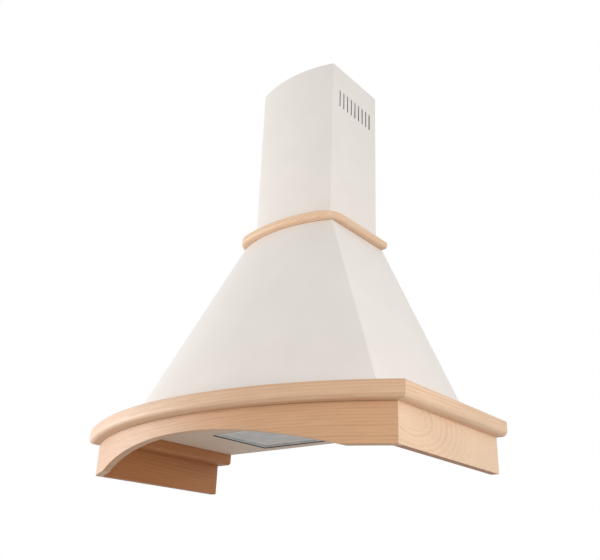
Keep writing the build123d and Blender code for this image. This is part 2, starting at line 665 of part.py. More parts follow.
def chimney_collar():
    """Wooden collar round the chimney's foot, open at the wall, with large round front corners."""
    outer = plan(
        TOP_HALF_WIDTH + COLLAR_OVERHANG,
        CANOPY_TOP_SIDE_DEPTH + COLLAR_OVERHANG,
        CANOPY_TOP_DEPTH + COLLAR_OVERHANG,
        corner=COLLAR_CORNER,
    )
    board = prism(outer, Z_CANOPY_TOP, Z_COLLAR_TOP)
    for end, radius in ((-1, COLLAR_UPPER_RADIUS), (0, COLLAR_LOWER_RADIUS)):
        rim = board.faces().sort_by(Axis.Z)[end].edges().sort_by(Axis.Y)[:-1]
        board = fillet(rim, radius)
    board -= prism(chimney_plan(-COLLAR_GAP, OVERCUT), Z_CANOPY_TOP - OVERCUT, Z_COLLAR_TOP + OVERCUT)
    return board - screw_holes(COLLAR_SCREW_SEATS, UP, WOOD_SCREW)


def chimney():
    """Two sections, the collar, the wall bracket and their screws."""
    upper = chimney_section(UPPER_OFFSET, UPPER_LOW, UPPER_HIGH)
    return {
        "chimney_lower": chimney_lower(),
        "chimney_upper": upper - screw_holes(BRACKET_SCREW_SEATS, BACK, BRACKET_SCREW),
        "chimney_bracket": chimney_bracket(),
        "bracket_screws": group(screw(seat, BACK, BRACKET_SCREW) for seat in BRACKET_SCREW_SEATS),
        "chimney_foot_screws": group(screw(seat, DOWN, FOOT_SCREW) for seat in FOOT_SCREW_SEATS),
        "chimney_collar": chimney_collar(),
    }


# Grease filter

FILTER_REAR_Y = -FILTER_REAR
FILTER_FRONT_Y = -FILTER_REAR - FILTER_DEPTH
FILTER_TOP = Z_TRAY + FILTER_THICKNESS
PIVOT_Y = FILTER_REAR_Y - PIVOT_SETBACK
PIVOT_Z = Z_TRAY + FILTER_THICKNESS / 2
LATCH_CASE_FRONT = FILTER_FRONT_Y + FILTER_LIP + MESH_GAP
LATCH_FRONT = LATCH_CASE_FRONT + LATCH_CASE_WALL + SLIDE_CLEARANCE
LATCH_CASE_REAR = LATCH_FRONT + LATCH_LENGTH + LATCH_TRAVEL + LATCH_SPRING_ROOM + LATCH_CASE_WALL
LATCH_LOW = Z_TRAY + LATCH_CASE_WALL
LATCH_HIGH = FILTER_TOP - LATCH_CASE_WALL
BOLT_LOW = (LATCH_LOW + LATCH_HIGH - LATCH_BOLT_THICKNESS) / 2
BOLT_HIGH = BOLT_LOW + LATCH_BOLT_THICKNESS
BOLT_TIP = FILTER_FRONT_Y - FILTER_GAP - LATCH_REACH


def filter_frame():
    """Channel frame open inwards, with round pivots at its rear corners and a slot for the latch bolt."""
    half, lip, wall = FILTER_WIDTH / 2, FILTER_LIP, FILTER_WALL
    frame = block((-half, half), (FILTER_FRONT_Y, FILTER_REAR_Y), (Z_TRAY, FILTER_TOP))
    frame -= block(
        (-half + lip, half - lip),
        (FILTER_FRONT_Y + lip, FILTER_REAR_Y - lip),
        (Z_TRAY - OVERCUT, FILTER_TOP + OVERCUT),
    )
    frame -= block(
        (-half + wall, half - wall),
        (FILTER_FRONT_Y + wall, FILTER_REAR_Y - wall),
        (Z_TRAY + wall, FILTER_TOP - wall),
    )
    for side in (-1, 1):
        root, tip = side * (half - wall), side * (half + PIVOT_LENGTH)
        frame += rod(PIVOT_RADIUS, (root, PIVOT_Y, PIVOT_Z), (tip, PIVOT_Y, PIVOT_Z))
    slot = LATCH_BOLT_WIDTH / 2 + SLIDE_CLEARANCE
    return frame - block(
        (-slot, slot),
        (FILTER_FRONT_Y - OVERCUT, FILTER_FRONT_Y + lip),
        (BOLT_LOW - SLIDE_CLEARANCE, BOLT_HIGH + SLIDE_CLEARANCE),
    )


def filter_mesh():
    """Expanded metal pack held in the channel, cut away round the latch."""
    inset = FILTER_WALL + MESH_GAP
    width, depth = FILTER_WIDTH - 2 * inset, FILTER_DEPTH - 2 * inset
    columns = int((width - 2 * FILTER_LIP) // MESH_PITCH)
    rows = int((depth - 2 * FILTER_LIP) // MESH_PITCH)
    diamond = Rot(0, 0, 45) * Rectangle(MESH_HOLE / sqrt(2), MESH_HOLE / sqrt(2))
    sheet = Rectangle(width, depth) - GridLocations(MESH_PITCH, MESH_PITCH, columns, rows) * diamond
    middle = (FILTER_FRONT_Y + FILTER_REAR_Y) / 2
    pack = prism(Pos(0, middle) * sheet, Z_TRAY + inset, FILTER_TOP - inset)
    return pack - block(
        (-LATCH_CASE_WIDTH / 2 - MESH_GAP, LATCH_CASE_WIDTH / 2 + MESH_GAP),
        (FILTER_FRONT_Y, LATCH_CASE_REAR + MESH_GAP),
        (Z_TRAY, FILTER_TOP),
    )


def latch_case():
    """Guide for the latch, open downwards for the finger tab and forwards for the bolt."""
    half, wall = LATCH_CASE_WIDTH / 2, LATCH_CASE_WALL
    case = block((-half, half), (LATCH_CASE_FRONT, LATCH_CASE_REAR), (Z_TRAY, FILTER_TOP))
    inner = LATCH_WIDTH / 2 + SLIDE_CLEARANCE
    case -= block(
        (-inner, inner),
        (LATCH_CASE_FRONT + wall, LATCH_CASE_REAR - wall),
        (LATCH_LOW - SLIDE_CLEARANCE, LATCH_HIGH + SLIDE_CLEARANCE),
    )
    bolt = LATCH_BOLT_WIDTH / 2 + SLIDE_CLEARANCE
    case -= block(
        (-bolt, bolt),
        (LATCH_CASE_FRONT - OVERCUT, LATCH_FRONT),
        (BOLT_LOW - SLIDE_CLEARANCE, BOLT_HIGH + SLIDE_CLEARANCE),
    )
    tab = LATCH_TAB_WIDTH / 2 + SLIDE_CLEARANCE
    window_rear = LATCH_FRONT + LATCH_TAB_THICKNESS + LATCH_TRAVEL + SLIDE_CLEARANCE
    return case - block((-tab, tab), (LATCH_CASE_FRONT + wall, window_rear), (Z_TRAY - OVERCUT, LATCH_LOW))


def filter_latch():
    """Sliding latch with its finger tab below and its bolt over the tray's edge."""
    rear = LATCH_FRONT + LATCH_LENGTH
    slider = block((-LATCH_WIDTH / 2, LATCH_WIDTH / 2), (LATCH_FRONT, rear), (LATCH_LOW, LATCH_HIGH))
    slider += block((-LATCH_BOLT_WIDTH / 2, LATCH_BOLT_WIDTH / 2), (BOLT_TIP, rear), (BOLT_LOW, BOLT_HIGH))
    return slider + block(
        (-LATCH_TAB_WIDTH / 2, LATCH_TAB_WIDTH / 2),
        (LATCH_FRONT, LATCH_FRONT + LATCH_TAB_THICKNESS),
        (Z_TRAY - LATCH_TAB_DROP, LATCH_HIGH),
    )


def pivot_clip(side):
    """Bracket on the tray that holds one of the filter's pivots."""
    inner = FILTER_WIDTH / 2 + PIVOT_LENGTH - CLIP_WIDTH
    x = (side * inner, side * (inner + CLIP_WIDTH))
    y = (PIVOT_Y - CLIP_DEPTH / 2, PIVOT_Y + CLIP_DEPTH / 2)
    clip = block(x, y, (Z_TRAY_TOP, Z_TRAY_TOP + CLIP_HEIGHT))
    start, end = side * (inner - OVERCUT), side * (inner + CLIP_WIDTH + OVERCUT)
    return clip - rod(PIVOT_RADIUS + PIVOT_CLEARANCE, (start, PIVOT_Y, PIVOT_Z), (end, PIVOT_Y, PIVOT_Z))


def grease_filter():
    """Filter cassette, its latch and the clips it turns in."""
    return {
        "filter_frame": filter_frame(),
        "filter_mesh": filter_mesh(),
        "filter_latch_case": latch_case(),
        "filter_latch": filter_latch(),
        "filter_pivot_clips": group(pivot_clip(side) for side in (-1, 1)),
    }


# Lamps

LAMP_PLACES = (-LAMP_SPREAD / 2, LAMP_SPREAD / 2)
LAMP_Y = TRAY_FRONT_Y + LAMP_SETBACK


def tube(x, y, outer, inner, low, high):
    """Upright tube at a place."""
    return rod(outer, (x, y, low), (x, y, high)) - rod(inner, (x, y, low - OVERCUT), (x, y, high + OVERCUT))


def lamp(name, x):
    """Spot lamp: trim ring, glass and can."""
    neck = LAMP_HOLE_RADIUS - SLIDE_CLEARANCE
    glass = neck - BEZEL_WALL
    flange = tube(x, LAMP_Y, BEZEL_RADIUS, glass - LENS_LEDGE, Z_TRAY - BEZEL_THICKNESS, Z_TRAY)
    bezel = flange + tube(x, LAMP_Y, neck, glass, Z_TRAY - BEZEL_THICKNESS / 2, Z_TRAY + BEZEL_HEIGHT)
    lens = rod(glass, (x, LAMP_Y, Z_TRAY), (x, LAMP_Y, Z_TRAY + LENS_THICKNESS))
    can_top = Z_TRAY_TOP + LAMP_CAN_HEIGHT
    can = rod(LAMP_CAN_RADIUS, (x, LAMP_Y, Z_TRAY_TOP), (x, LAMP_Y, can_top))
    can -= rod(LAMP_CAN_RADIUS - LAMP_CAN_WALL, (x, LAMP_Y, Z_TRAY), (x, LAMP_Y, can_top - LAMP_CAN_WALL))
    return {
        f"lamp_bezel_{name}": bezel,
        f"lamp_lens_{name}": lens,
        f"lamp_can_{name}": can,
    }


def lamp_leds():
    """Light source under the top of each can."""
    top = Z_TRAY_TOP + LAMP_CAN_HEIGHT - LAMP_CAN_WALL
    return group(rod(LED_RADIUS, (x, LAMP_Y, top - LED_THICKNESS), (x, LAMP_Y, top)) for x in LAMP_PLACES)


# Switch

BUTTON_NAMES = ("light", "off", "low", "medium", "high")
SWITCH_Y = TRAY_FRONT_Y + SWITCH_SETBACK
SWITCH_HALF_WIDTH = (len(BUTTON_NAMES) - 1) / 2 * BUTTON_PITCH + BUTTON_WIDTH / 2 + SWITCH_MARGIN
SWITCH_HALF_DEPTH = BUTTON_DEPTH / 2 + SWITCH_MARGIN
Z_GUIDE = Z_TRAY_TOP + SWITCH_WALL
Z_SHOULDER = Z_GUIDE + SLIDE_CLEARANCE
Z_BUTTON_TOP = Z_SHOULDER + BUTTON_FLANGE_THICKNESS + BUTTON_STEM
Z_SWITCH_TOP = Z_BUTTON_TOP + BUTTON_TRAVEL + CONTACT_ROOM + SWITCH_WALL


def button_x(index):
    """Place of a button along the switch."""
    return (index - (len(BUTTON_NAMES) - 1) / 2) * BUTTON_PITCH


def button_windows(low, high):
    """Openings that guide the buttons."""
    half_width, half_depth = BUTTON_WIDTH / 2 + SLIDE_CLEARANCE, BUTTON_DEPTH / 2 + SLIDE_CLEARANCE
    return [
        block((x - half_width, x + half_width), (SWITCH_Y - half_depth, SWITCH_Y + half_depth), (low, high))
        for x in (button_x(i) for i in range(len(BUTTON_NAMES)))
    ]


def switch_block(inset, low, high):
    """Box over the whole switch, moved in by some wall."""
    half_width, half_depth = SWITCH_HALF_WIDTH - inset, SWITCH_HALF_DEPTH - inset
    return block((-half_width, half_width), (SWITCH_Y - half_depth, SWITCH_Y + half_depth), (low, high))


def push_button(index):
    """Button cap with the shoulder that rests on the guide."""
    x = button_x(index)
    half_width, half_depth = BUTTON_WIDTH / 2, BUTTON_DEPTH / 2
    y = (SWITCH_Y - half_depth, SWITCH_Y + half_depth)
    cap = block((x - half_width, x + half_width), y, (Z_TRAY - SWITCH_PLATE - BUTTON_PROUD, Z_BUTTON_TOP))
    cap = fillet(cap.faces().sort_by(Axis.Z)[0].edges(), BUTTON_EDGE_RADIUS)
    wide, deep = half_width + BUTTON_FLANGE, half_depth + BUTTON_FLANGE
    return cap + block(
        (x - wide, x + wide),
        (SWITCH_Y - deep, SWITCH_Y + deep),
        (Z_SHOULDER, Z_SHOULDER + BUTTON_FLANGE_THICKNESS),
    )


def switch():
    """Trim plate below the tray, guide box above it and the push buttons."""
    plate = switch_block(0, Z_TRAY - SWITCH_PLATE, Z_TRAY)
    box = switch_block(0, Z_TRAY_TOP, Z_SWITCH_TOP)
    box -= switch_block(SWITCH_WALL, Z_GUIDE, Z_SWITCH_TOP - SWITCH_WALL)
    pieces = {
        "switch_trim_plate": plate - button_windows(Z_TRAY - OVERCUT, Z_TRAY + OVERCUT),
        "switch_box": box - button_windows(Z_TRAY, Z_GUIDE + SWITCH_WALL),
    }
    for index, name in enumerate(BUTTON_NAMES):
        pieces[f"button_{name}"] = push_button(index)
    return pieces


# Blower

DUCT_Y = -DUCT_CENTRE
SCROLL_MAX_RADIUS = IMPELLER_RADIUS + SCROLL_OPENING
SCROLL_MIN_RADIUS = IMPELLER_RADIUS + TONGUE_GAP
INLET_RADIUS = IMPELLER_RADIUS - BLADE_DEPTH - INLET_STEP
MOTOR_RADIUS = IMPELLER_RADIUS - BLADE_DEPTH - MOTOR_SPACE
ARM_HOLE_CIRCLE = INLET_RADIUS + SCROLL_WALL + GROMMET_GAP + GROMMET_RADIUS
OUTLET_FLANGE = DUCT_RADIUS + OUTLET_MARGIN
OUTLET_REAR_Y = DUCT_Y + OUTLET_DEPTH / 2
OUTLET_FRONT_Y = DUCT_Y - OUTLET_DEPTH / 2
Z_OUTLET = Z_CANOPY_TOP - OUTLET_DROP
AXIS_Y = OUTLET_REAR_Y - SCROLL_MAX_RADIUS
AXIS_Z = Z_CANOPY_TOP - BLOWER_DROP
SCROLL_HALF_WIDTH = SCROLL_WIDTH / 2 + SCROLL_WALL
TONGUE_ANGLE = degrees(acos((OUTLET_FRONT_Y - AXIS_Y) / SCROLL_MIN_RADIUS))
SCROLL_SWEEP = 360 - TONGUE_ANGLE


def scroll_radius(angle):
    """Radius of the spiral, from its widest at angle 0 round to the tongue."""
    return SCROLL_MAX_RADIUS + (SCROLL_MIN_RADIUS - SCROLL_MAX_RADIUS) * angle / SCROLL_SWEEP


def scroll_point(angle, outside=0.0):
    """Point on or outside the spiral, in Y and Z, at an angle turned from the wall side down and forwards."""
    radius = scroll_radius(angle) + outside
    return (AXIS_Y + radius * cos(radians(angle)), AXIS_Z - radius * sin(radians(angle)))


def scroll_outline():
    """Inside of the scroll in Y and Z: the spiral with its outlet going straight up."""
    half_step = SCROLL_SWEEP / SCROLL_ARCS / 2
    points = [scroll_point(i * half_step) for i in range(2 * SCROLL_ARCS + 1)]
    arcs = [ThreePointArc(*ends) for ends in zip(points[0::2], points[1::2], points[2::2])]
    start, tongue = scroll_point(0), scroll_point(SCROLL_SWEEP)
    outlet = Polyline(tongue, (OUTLET_FRONT_Y, Z_OUTLET), (OUTLET_REAR_Y, Z_OUTLET), start)
    return make_face(Curve() + arcs + [outlet])


LUG_ANGLES = [SCROLL_SWEEP * (i + 0.5) / SCROLL_LUGS for i in range(SCROLL_LUGS)]
LUG_PLACES = [scroll_point(angle, SCROLL_WALL + SCROLL_LUG_RADIUS - LUG_LAP) for angle in LUG_ANGLES]
SCROLL_SCREW_SEATS = [(SCROLL_LUG_LENGTH, y, z) for y, z in LUG_PLACES]
ARM_ANGLES = [360 / ARM_COUNT * i + 90 for i in range(ARM_COUNT)]
ARM_FACE = SCROLL_HALF_WIDTH + INLET_LIP
MOTOR_SCREW_SEATS = [
    (
        ARM_FACE + ARM_THICKNESS,
        AXIS_Y + ARM_HOLE_CIRCLE * cos(radians(angle)),
        AXIS_Z + ARM_HOLE_CIRCLE * sin(radians(angle)),
    )
    for angle in ARM_ANGLES
]
CRADLE_OUT = SCROLL_HALF_WIDTH + CRADLE_THICKNESS
CRADLE_SCREW_Z = CRADLE_HEIGHT / 2 - CRADLE_MARGIN
CRADLE_FRONT_Y = OUTLET_REAR_Y + SCROLL_WALL - CRADLE_LAP
CRADLE_WALL_SEATS = [
    (sx * (SCROLL_HALF_WIDTH - CRADLE_MARGIN), -SHEET - CRADLE_THICKNESS, AXIS_Z + sz * CRADLE_SCREW_Z)
    for sx in (-1, 1)
    for sz in (-1, 1)
]
CRADLE_SIDE_SEATS = [
    (CRADLE_OUT, CRADLE_FRONT_Y + CRADLE_LAP / 2, AXIS_Z + sz * CRADLE_SCREW_Z) for sz in (-1, 1)
]


def along_x(radius, start, end):
    """Round bar on the impeller's axis."""
    return rod(radius, (start, AXIS_Y, AXIS_Z), (end, AXIS_Y, AXIS_Z))


def scroll_half():
    """Right half of the scroll: side with its inlet, half of the wall round it, lugs and outlet flange."""
    inside = scroll_outline()
    outside = offset(inside, amount=SCROLL_WALL, kind=Kind.INTERSECTION)
    shell = extrude(Plane.YZ * outside, amount=SCROLL_HALF_WIDTH)
    shell += [rod(SCROLL_LUG_RADIUS, (0, y, z), (SCROLL_LUG_LENGTH, y, z)) for y, z in LUG_PLACES]
    shell += along_x(INLET_RADIUS + SCROLL_WALL, SCROLL_WIDTH / 2, ARM_FACE)
    shell += block(
        (0, OUTLET_FLANGE),
        (DUCT_Y - OUTLET_FLANGE, DUCT_Y + OUTLET_FLANGE),
        (Z_OUTLET - OUTLET_FLANGE_THICKNESS, Z_OUTLET),
    )
    shell -= extrude(Plane.YZ * inside, amount=SCROLL_WIDTH / 2)
    shell -= along_x(INLET_RADIUS, 0, ARM_FACE + OVERCUT)
    shell -= block((0, SCROLL_WIDTH / 2), (OUTLET_FRONT_Y, OUTLET_REAR_Y), (Z_OUTLET - OVERCUT, Z_OUTLET))
    return shell - block(
        (0, OUTLET_FLANGE), (DUCT_Y - OUTLET_FLANGE, DUCT_Y + OUTLET_FLANGE), (Z_OUTLET, Z_OUTLET + OVERCUT)
    )


def scroll():
    """Two halves of the scroll with the screws through their lugs."""
    half = scroll_half() - screw_holes(SCROLL_SCREW_SEATS, LEFT, SCROLL_SCREW)
    side_holes = screw_holes(CRADLE_SIDE_SEATS, LEFT, CRADLE_SIDE_SCREW)
    half -= side_holes
    motor_holes = screw_holes(MOTOR_SCREW_SEATS, LEFT, MOTOR_SCREW)
    return {
        "scroll_shell_left": mirror(half, about=Plane.YZ),
        "scroll_shell_right": half - motor_holes,
        "scroll_screws": group(screw(seat, LEFT, SCROLL_SCREW) for seat in SCROLL_SCREW_SEATS),
    }


def blade_section():
    """Curved section of one impeller blade, drawn in Y and Z round the axis."""
    inner, outer = (IMPELLER_RADIUS - BLADE_DEPTH, 0), (IMPELLER_RADIUS - BLADE_THICKNESS, 0)
    return trace(RadiusArc(inner, outer, BLADE_CURVE), BLADE_THICKNESS)


def impeller():
    """Double-inlet drum: a ring of curved blades on a middle disc, with a ring at each end and a hub."""
    half = SCROLL_WIDTH / 2 - IMPELLER_GAP
    blades = PolarLocations(0, BLADE_COUNT) * blade_section()
    face = Plane(origin=(0, AXIS_Y, AXIS_Z), x_dir=(0, 1, 0), z_dir=(1, 0, 0))
    drum = extrude(face * (Sketch() + blades), amount=half, both=True)
    drum += along_x(IMPELLER_RADIUS, -IMPELLER_DISC / 2, IMPELLER_DISC / 2)
    drum += along_x(HUB_RADIUS, IMPELLER_DISC / 2 - HUB_LENGTH, IMPELLER_DISC / 2)
    eye = along_x(IMPELLER_RADIUS - BLADE_DEPTH, -SCROLL_WIDTH, SCROLL_WIDTH)
    for side in (-1, 1):
        drum += along_x(IMPELLER_RADIUS, side * (half - IMPELLER_RING), side * half) - eye
    return drum - along_x(SHAFT_RADIUS, -HUB_LENGTH - OVERCUT, OVERCUT)


def motor():
    """Motor in the right inlet: cup, stator, rotor, shaft and bushes, carried by an armed bracket."""
    inner_bush = (MOTOR_GAP, MOTOR_GAP + BUSH_LENGTH)
    outer_bush = (ARM_FACE + ARM_THICKNESS - BUSH_LENGTH, ARM_FACE + ARM_THICKNESS)
    cup = along_x(MOTOR_RADIUS, MOTOR_GAP, ARM_FACE)
    cup -= along_x(MOTOR_RADIUS - MOTOR_WALL, MOTOR_GAP + MOTOR_WALL, ARM_FACE + OVERCUT)
    cup -= along_x(BUSH_RADIUS, 0, ARM_FACE)
    core_low = (inner_bush[1] + outer_bush[0] - ROTOR_LENGTH) / 2
    core_high = core_low + ROTOR_LENGTH
    stator = along_x(MOTOR_RADIUS - MOTOR_WALL, core_low, core_high)
    rotor = along_x(STATOR_BORE - ROTOR_GAP, core_low, core_high)
    bushes = [
        along_x(BUSH_RADIUS, *ends) - along_x(SHAFT_RADIUS + SHAFT_CLEARANCE, 0, ARM_FACE + OVERCUT)
        for ends in (inner_bush, outer_bush)
    ]
    return {
        "motor_cup": cup,
        "motor_stator": stator - along_x(STATOR_BORE, 0, ARM_FACE),
        "motor_rotor": rotor - along_x(SHAFT_RADIUS, 0, ARM_FACE),
        "motor_shaft": along_x(SHAFT_RADIUS, IMPELLER_DISC / 2 - HUB_LENGTH, ARM_FACE + ARM_THICKNESS),
        "motor_bushes": group(bushes),
        "motor_bracket": motor_bracket(),
        "motor_grommets": group(grommets()),
        "motor_screws": group(screw(seat, LEFT, MOTOR_SCREW) for seat in MOTOR_SCREW_SEATS),
    }


def motor_bracket():
    """Disc that closes the motor, with arms to the side of the scroll."""
    bracket = along_x(MOTOR_RADIUS, ARM_FACE, ARM_FACE + ARM_THICKNESS)
    reach = ARM_HOLE_CIRCLE + ARM_WIDTH / 2
    for angle in ARM_ANGLES:
        arm = block((ARM_FACE, ARM_FACE + ARM_THICKNESS), (0, reach), (-ARM_WIDTH / 2, ARM_WIDTH / 2))
        bracket += Pos(0, AXIS_Y, AXIS_Z) * Rot(angle, 0, 0) * arm
    bracket -= along_x(BUSH_RADIUS, 0, ARM_FACE + OVERCUT)
    return bracket - screw_holes(MOTOR_SCREW_SEATS, LEFT, MOTOR_SCREW)


def grommets():
    """Rubber rings between the bracket's arms and the side of the scroll."""
    radius = MOTOR_SCREW[0] + SCREW_CLEARANCE
    rings = []
    for _, y, z in MOTOR_SCREW_SEATS:
        body = rod(GROMMET_RADIUS, (SCROLL_HALF_WIDTH, y, z), (ARM_FACE, y, z))
        rings.append(body - rod(radius, (0, y, z), (ARM_FACE + OVERCUT, y, z)))
    return rings


def cradle():
    """Bent strip from the back panel round both sides of the scroll, with its screws."""
    z = (AXIS_Z - CRADLE_HEIGHT / 2, AXIS_Z + CRADLE_HEIGHT / 2)
    strip = block((-CRADLE_OUT, CRADLE_OUT), (-SHEET, CRADLE_FRONT_Y), z)
    inside_y = (-SHEET - CRADLE_THICKNESS, CRADLE_FRONT_Y - OVERCUT)
    strip -= block((-SCROLL_HALF_WIDTH, SCROLL_HALF_WIDTH), inside_y, z)
    strip -= screw_holes(CRADLE_WALL_SEATS, BACK, CRADLE_WALL_SCREW)
    side_holes = screw_holes(CRADLE_SIDE_SEATS, LEFT, CRADLE_SIDE_SCREW)
    strip -= side_holes + [mirror(hole, about=Plane.YZ) for hole in side_holes]
    side_screws = [screw(seat, LEFT, CRADLE_SIDE_SCREW) for seat in CRADLE_SIDE_SEATS]
    wall_screws = [screw(seat, BACK, CRADLE_WALL_SCREW) for seat in CRADLE_WALL_SEATS]
    return {
        "blower_cradle": strip,
        "cradle_screws": group(wall_screws + side_screws + [mirror(s, about=Plane.YZ) for s in side_screws]),
    }


Z_FLAP = Z_CANOPY_TOP - FLAP_DROP
DUCT_BORE = DUCT_RADIUS - DUCT_WALL
PIN_HALF = DUCT_BORE + DUCT_WALL / 2


def in_duct(radius, low, high):
    """Round bar on the duct's axis."""
    return rod(radius, (0, DUCT_Y, low), (0, DUCT_Y, high))


def flap_pin(side, radius, half_length):
    """Bar along one flap's axis."""
    x = side * FLAP_PIN_OFFSET
    return rod(radius, (x, DUCT_Y - half_length, Z_FLAP), (x, DUCT_Y + half_length, Z_FLAP))


def outlet_spigot():
    """Flange on the scroll's outlet with the duct spigot, the flaps' ledge and the bar under their pins."""
    top = Z_CANOPY_TOP + DUCT_RISE
    flange_top = Z_OUTLET + OUTLET_FLANGE_THICKNESS
    flange_y = (DUCT_Y - OUTLET_FLANGE, DUCT_Y + OUTLET_FLANGE)
    spigot = block((-OUTLET_FLANGE, OUTLET_FLANGE), flange_y, (Z_OUTLET, flange_top))
    spigot += in_duct(DUCT_RADIUS, Z_OUTLET, top)
    spigot -= in_duct(DUCT_BORE, Z_OUTLET - OVERCUT, top + OVERCUT)
    ledge_top = Z_FLAP - FLAP_THICKNESS / 2 - FLAP_SEAT_GAP
    ledge_low = ledge_top - LEDGE_THICKNESS
    ledge = in_duct(PIN_HALF, ledge_low, ledge_top)
    spigot += ledge - in_duct(DUCT_BORE - LEDGE_WIDTH, ledge_low - OVERCUT, ledge_top + OVERCUT)
    bar_top = Z_FLAP - FLAP_KNUCKLE_RADIUS - 2 * FLAP_SEAT_GAP
    bar_low = bar_top - BAR_THICKNESS
    bar = block((-BAR_WIDTH / 2, BAR_WIDTH / 2), (DUCT_Y - PIN_HALF, DUCT_Y + PIN_HALF), (bar_low, bar_top))
    spigot += bar & in_duct(PIN_HALF, bar_low, bar_top)
    radius, half_length = FLAP_PIN_RADIUS + FLAP_PIN_CLEARANCE, PIN_HALF + FLAP_PIN_CLEARANCE
    return spigot - [flap_pin(side, radius, half_length) for side in (-1, 1)]


def damper_flap(side):
    """Half-round flap with the rolled knuckle that turns on its pin."""
    radius = DUCT_BORE - FLAP_GAP
    low, high = Z_FLAP - FLAP_THICKNESS / 2, Z_FLAP + FLAP_THICKNESS / 2
    clear = FLAP_PIN_OFFSET + FLAP_KNUCKLE_RADIUS
    half_length = FLAP_KNUCKLE_LENGTH / 2
    y = (DUCT_Y - half_length, DUCT_Y + half_length)
    half_disc = block((side * clear, side * DUCT_RADIUS), (DUCT_Y - radius, DUCT_Y + radius), (low, high))
    plate = in_duct(radius, low, high) & half_disc
    plate += block((side * FLAP_PIN_OFFSET, side * (clear + FLAP_GAP)), y, (low, high))
    plate += flap_pin(side, FLAP_KNUCKLE_RADIUS, half_length)
    return plate - flap_pin(side, FLAP_PIN_RADIUS + FLAP_PIN_CLEARANCE, DUCT_RADIUS)


def outlet():
    """Duct spigot with its two non-return flaps on their pins."""
    return {
        "outlet_spigot": outlet_spigot(),
        "damper_flap_left": damper_flap(-1),
        "damper_flap_right": damper_flap(1),
        "damper_pins": group(flap_pin(side, FLAP_PIN_RADIUS, PIN_HALF) for side in (-1, 1)),
    }


# Wiring

BOX_TOP = Z_CANOPY_TOP - TERMINAL_BOX_DROP
BOX_LOW = BOX_TOP - TERMINAL_BOX_HEIGHT
BOX_REAR = -SHEET
BOX_FRONT = BOX_REAR - TERMINAL_BOX_DEPTH
BOX_X = (TERMINAL_BOX_X - TERMINAL_BOX_WIDTH / 2, TERMINAL_BOX_X + TERMINAL_BOX_WIDTH / 2)
GLAND_Y = BOX_REAR - TERMINAL_BOX_DEPTH / 2


def cable_gland():
    """Gland in the box's top: thread, nut and dome with the bore for the mains cable."""
    def upright(radius, low, high):
        return rod(radius, (TERMINAL_BOX_X, GLAND_Y, low), (TERMINAL_BOX_X, GLAND_Y, high))

    nut_top = BOX_TOP + GLAND_NUT_THICKNESS
    dome_top = nut_top + GLAND_DOME_HEIGHT
    nut = Pos(TERMINAL_BOX_X, GLAND_Y) * RegularPolygon(GLAND_NUT / 2, 6, major_radius=False)
    gland = prism(nut, BOX_TOP, nut_top) + upright(GLAND_DOME_RADIUS, nut_top, dome_top)
    crown = GLAND_DOME_RADIUS - GLAND_BORE_RADIUS - GLAND_LIP
    gland = fillet(gland.faces().sort_by(Axis.Z)[-1].edges(), crown)
    gland += upright(GLAND_THREAD_RADIUS, BOX_TOP - 2 * TERMINAL_BOX_WALL, BOX_TOP)
    return gland - upright(GLAND_BORE_RADIUS, BOX_LOW, dome_top + OVERCUT)


def inside_box(inset, y):
    """Block inside the terminal box's outline, moved in by some wall."""
    return block((BOX_X[0] + inset, BOX_X[1] - inset), y, (BOX_LOW + inset, BOX_TOP - inset))


def terminal_box():
    """Box on the back panel, open at its front."""
    box = block(BOX_X, (BOX_REAR, BOX_FRONT), (BOX_LOW, BOX_TOP))
    box -= inside_box(TERMINAL_BOX_WALL, (BOX_REAR - TERMINAL_BOX_WALL, BOX_FRONT - OVERCUT))
    radius = GLAND_THREAD_RADIUS + SCREW_CLEARANCE
    x = TERMINAL_BOX_X
    return box - rod(radius, (x, GLAND_Y, BOX_TOP - OVERCUT), (x, GLAND_Y, BOX_TOP + OVERCUT))


def terminal_box_lid():
    """Lid over the box's front, with a rim that snaps inside it."""
    lid = block(BOX_X, (BOX_FRONT, BOX_FRONT - LID_THICKNESS), (BOX_LOW, BOX_TOP))
    gap = TERMINAL_BOX_WALL + SLIDE_CLEARANCE
    lid += inside_box(gap, (BOX_FRONT, BOX_FRONT + LID_RIM))
    return lid - inside_box(gap + TERMINAL_BOX_WALL, (BOX_FRONT, BOX_FRONT + OVERCUT))


def loom_route():
    """Route of the wires from the terminal box, past the filter on the right, to the switch."""
    level = Z_TRAY_TOP + LOOM_RADIUS + LOOM_GAP
    wall_y = BOX_REAR - TERMINAL_BOX_DEPTH / 2
    side_x = max(FILTER_WIDTH / 2 + PIVOT_LENGTH, LAMP_PLACES[1] + LAMP_CAN_RADIUS) + LOOM_SPACE
    return [
        (TERMINAL_BOX_X, wall_y, BOX_LOW),
        (TERMINAL_BOX_X, wall_y, BOX_LOW - LOOM_FALL),
        (side_x, wall_y, Z_TRAY_TOP + LOOM_BEND_HEIGHT),
        (side_x, wall_y - LOOM_FOOT, level),
        (side_x, LAMP_Y + LOOM_LAMP_GAP, level),
        (LAMP_PLACES[1] + LOOM_LAMP_GAP, SWITCH_Y, level),
        (SWITCH_HALF_WIDTH, SWITCH_Y, level),
    ]


def bend_radii(route):
    """Radius of each bend of a route, as large as its two runs allow."""
    radii = []
    for before, corner, after in zip(route, route[1:], route[2:]):
        run_in, run_out = Vector(*corner) - Vector(*before), Vector(*after) - Vector(*corner)
        shorter = min(run_in.length, run_out.length)
        radii.append(LOOM_ARC_SHARE * shorter / tan(radians(run_in.get_angle(run_out) / 2)))
    return radii


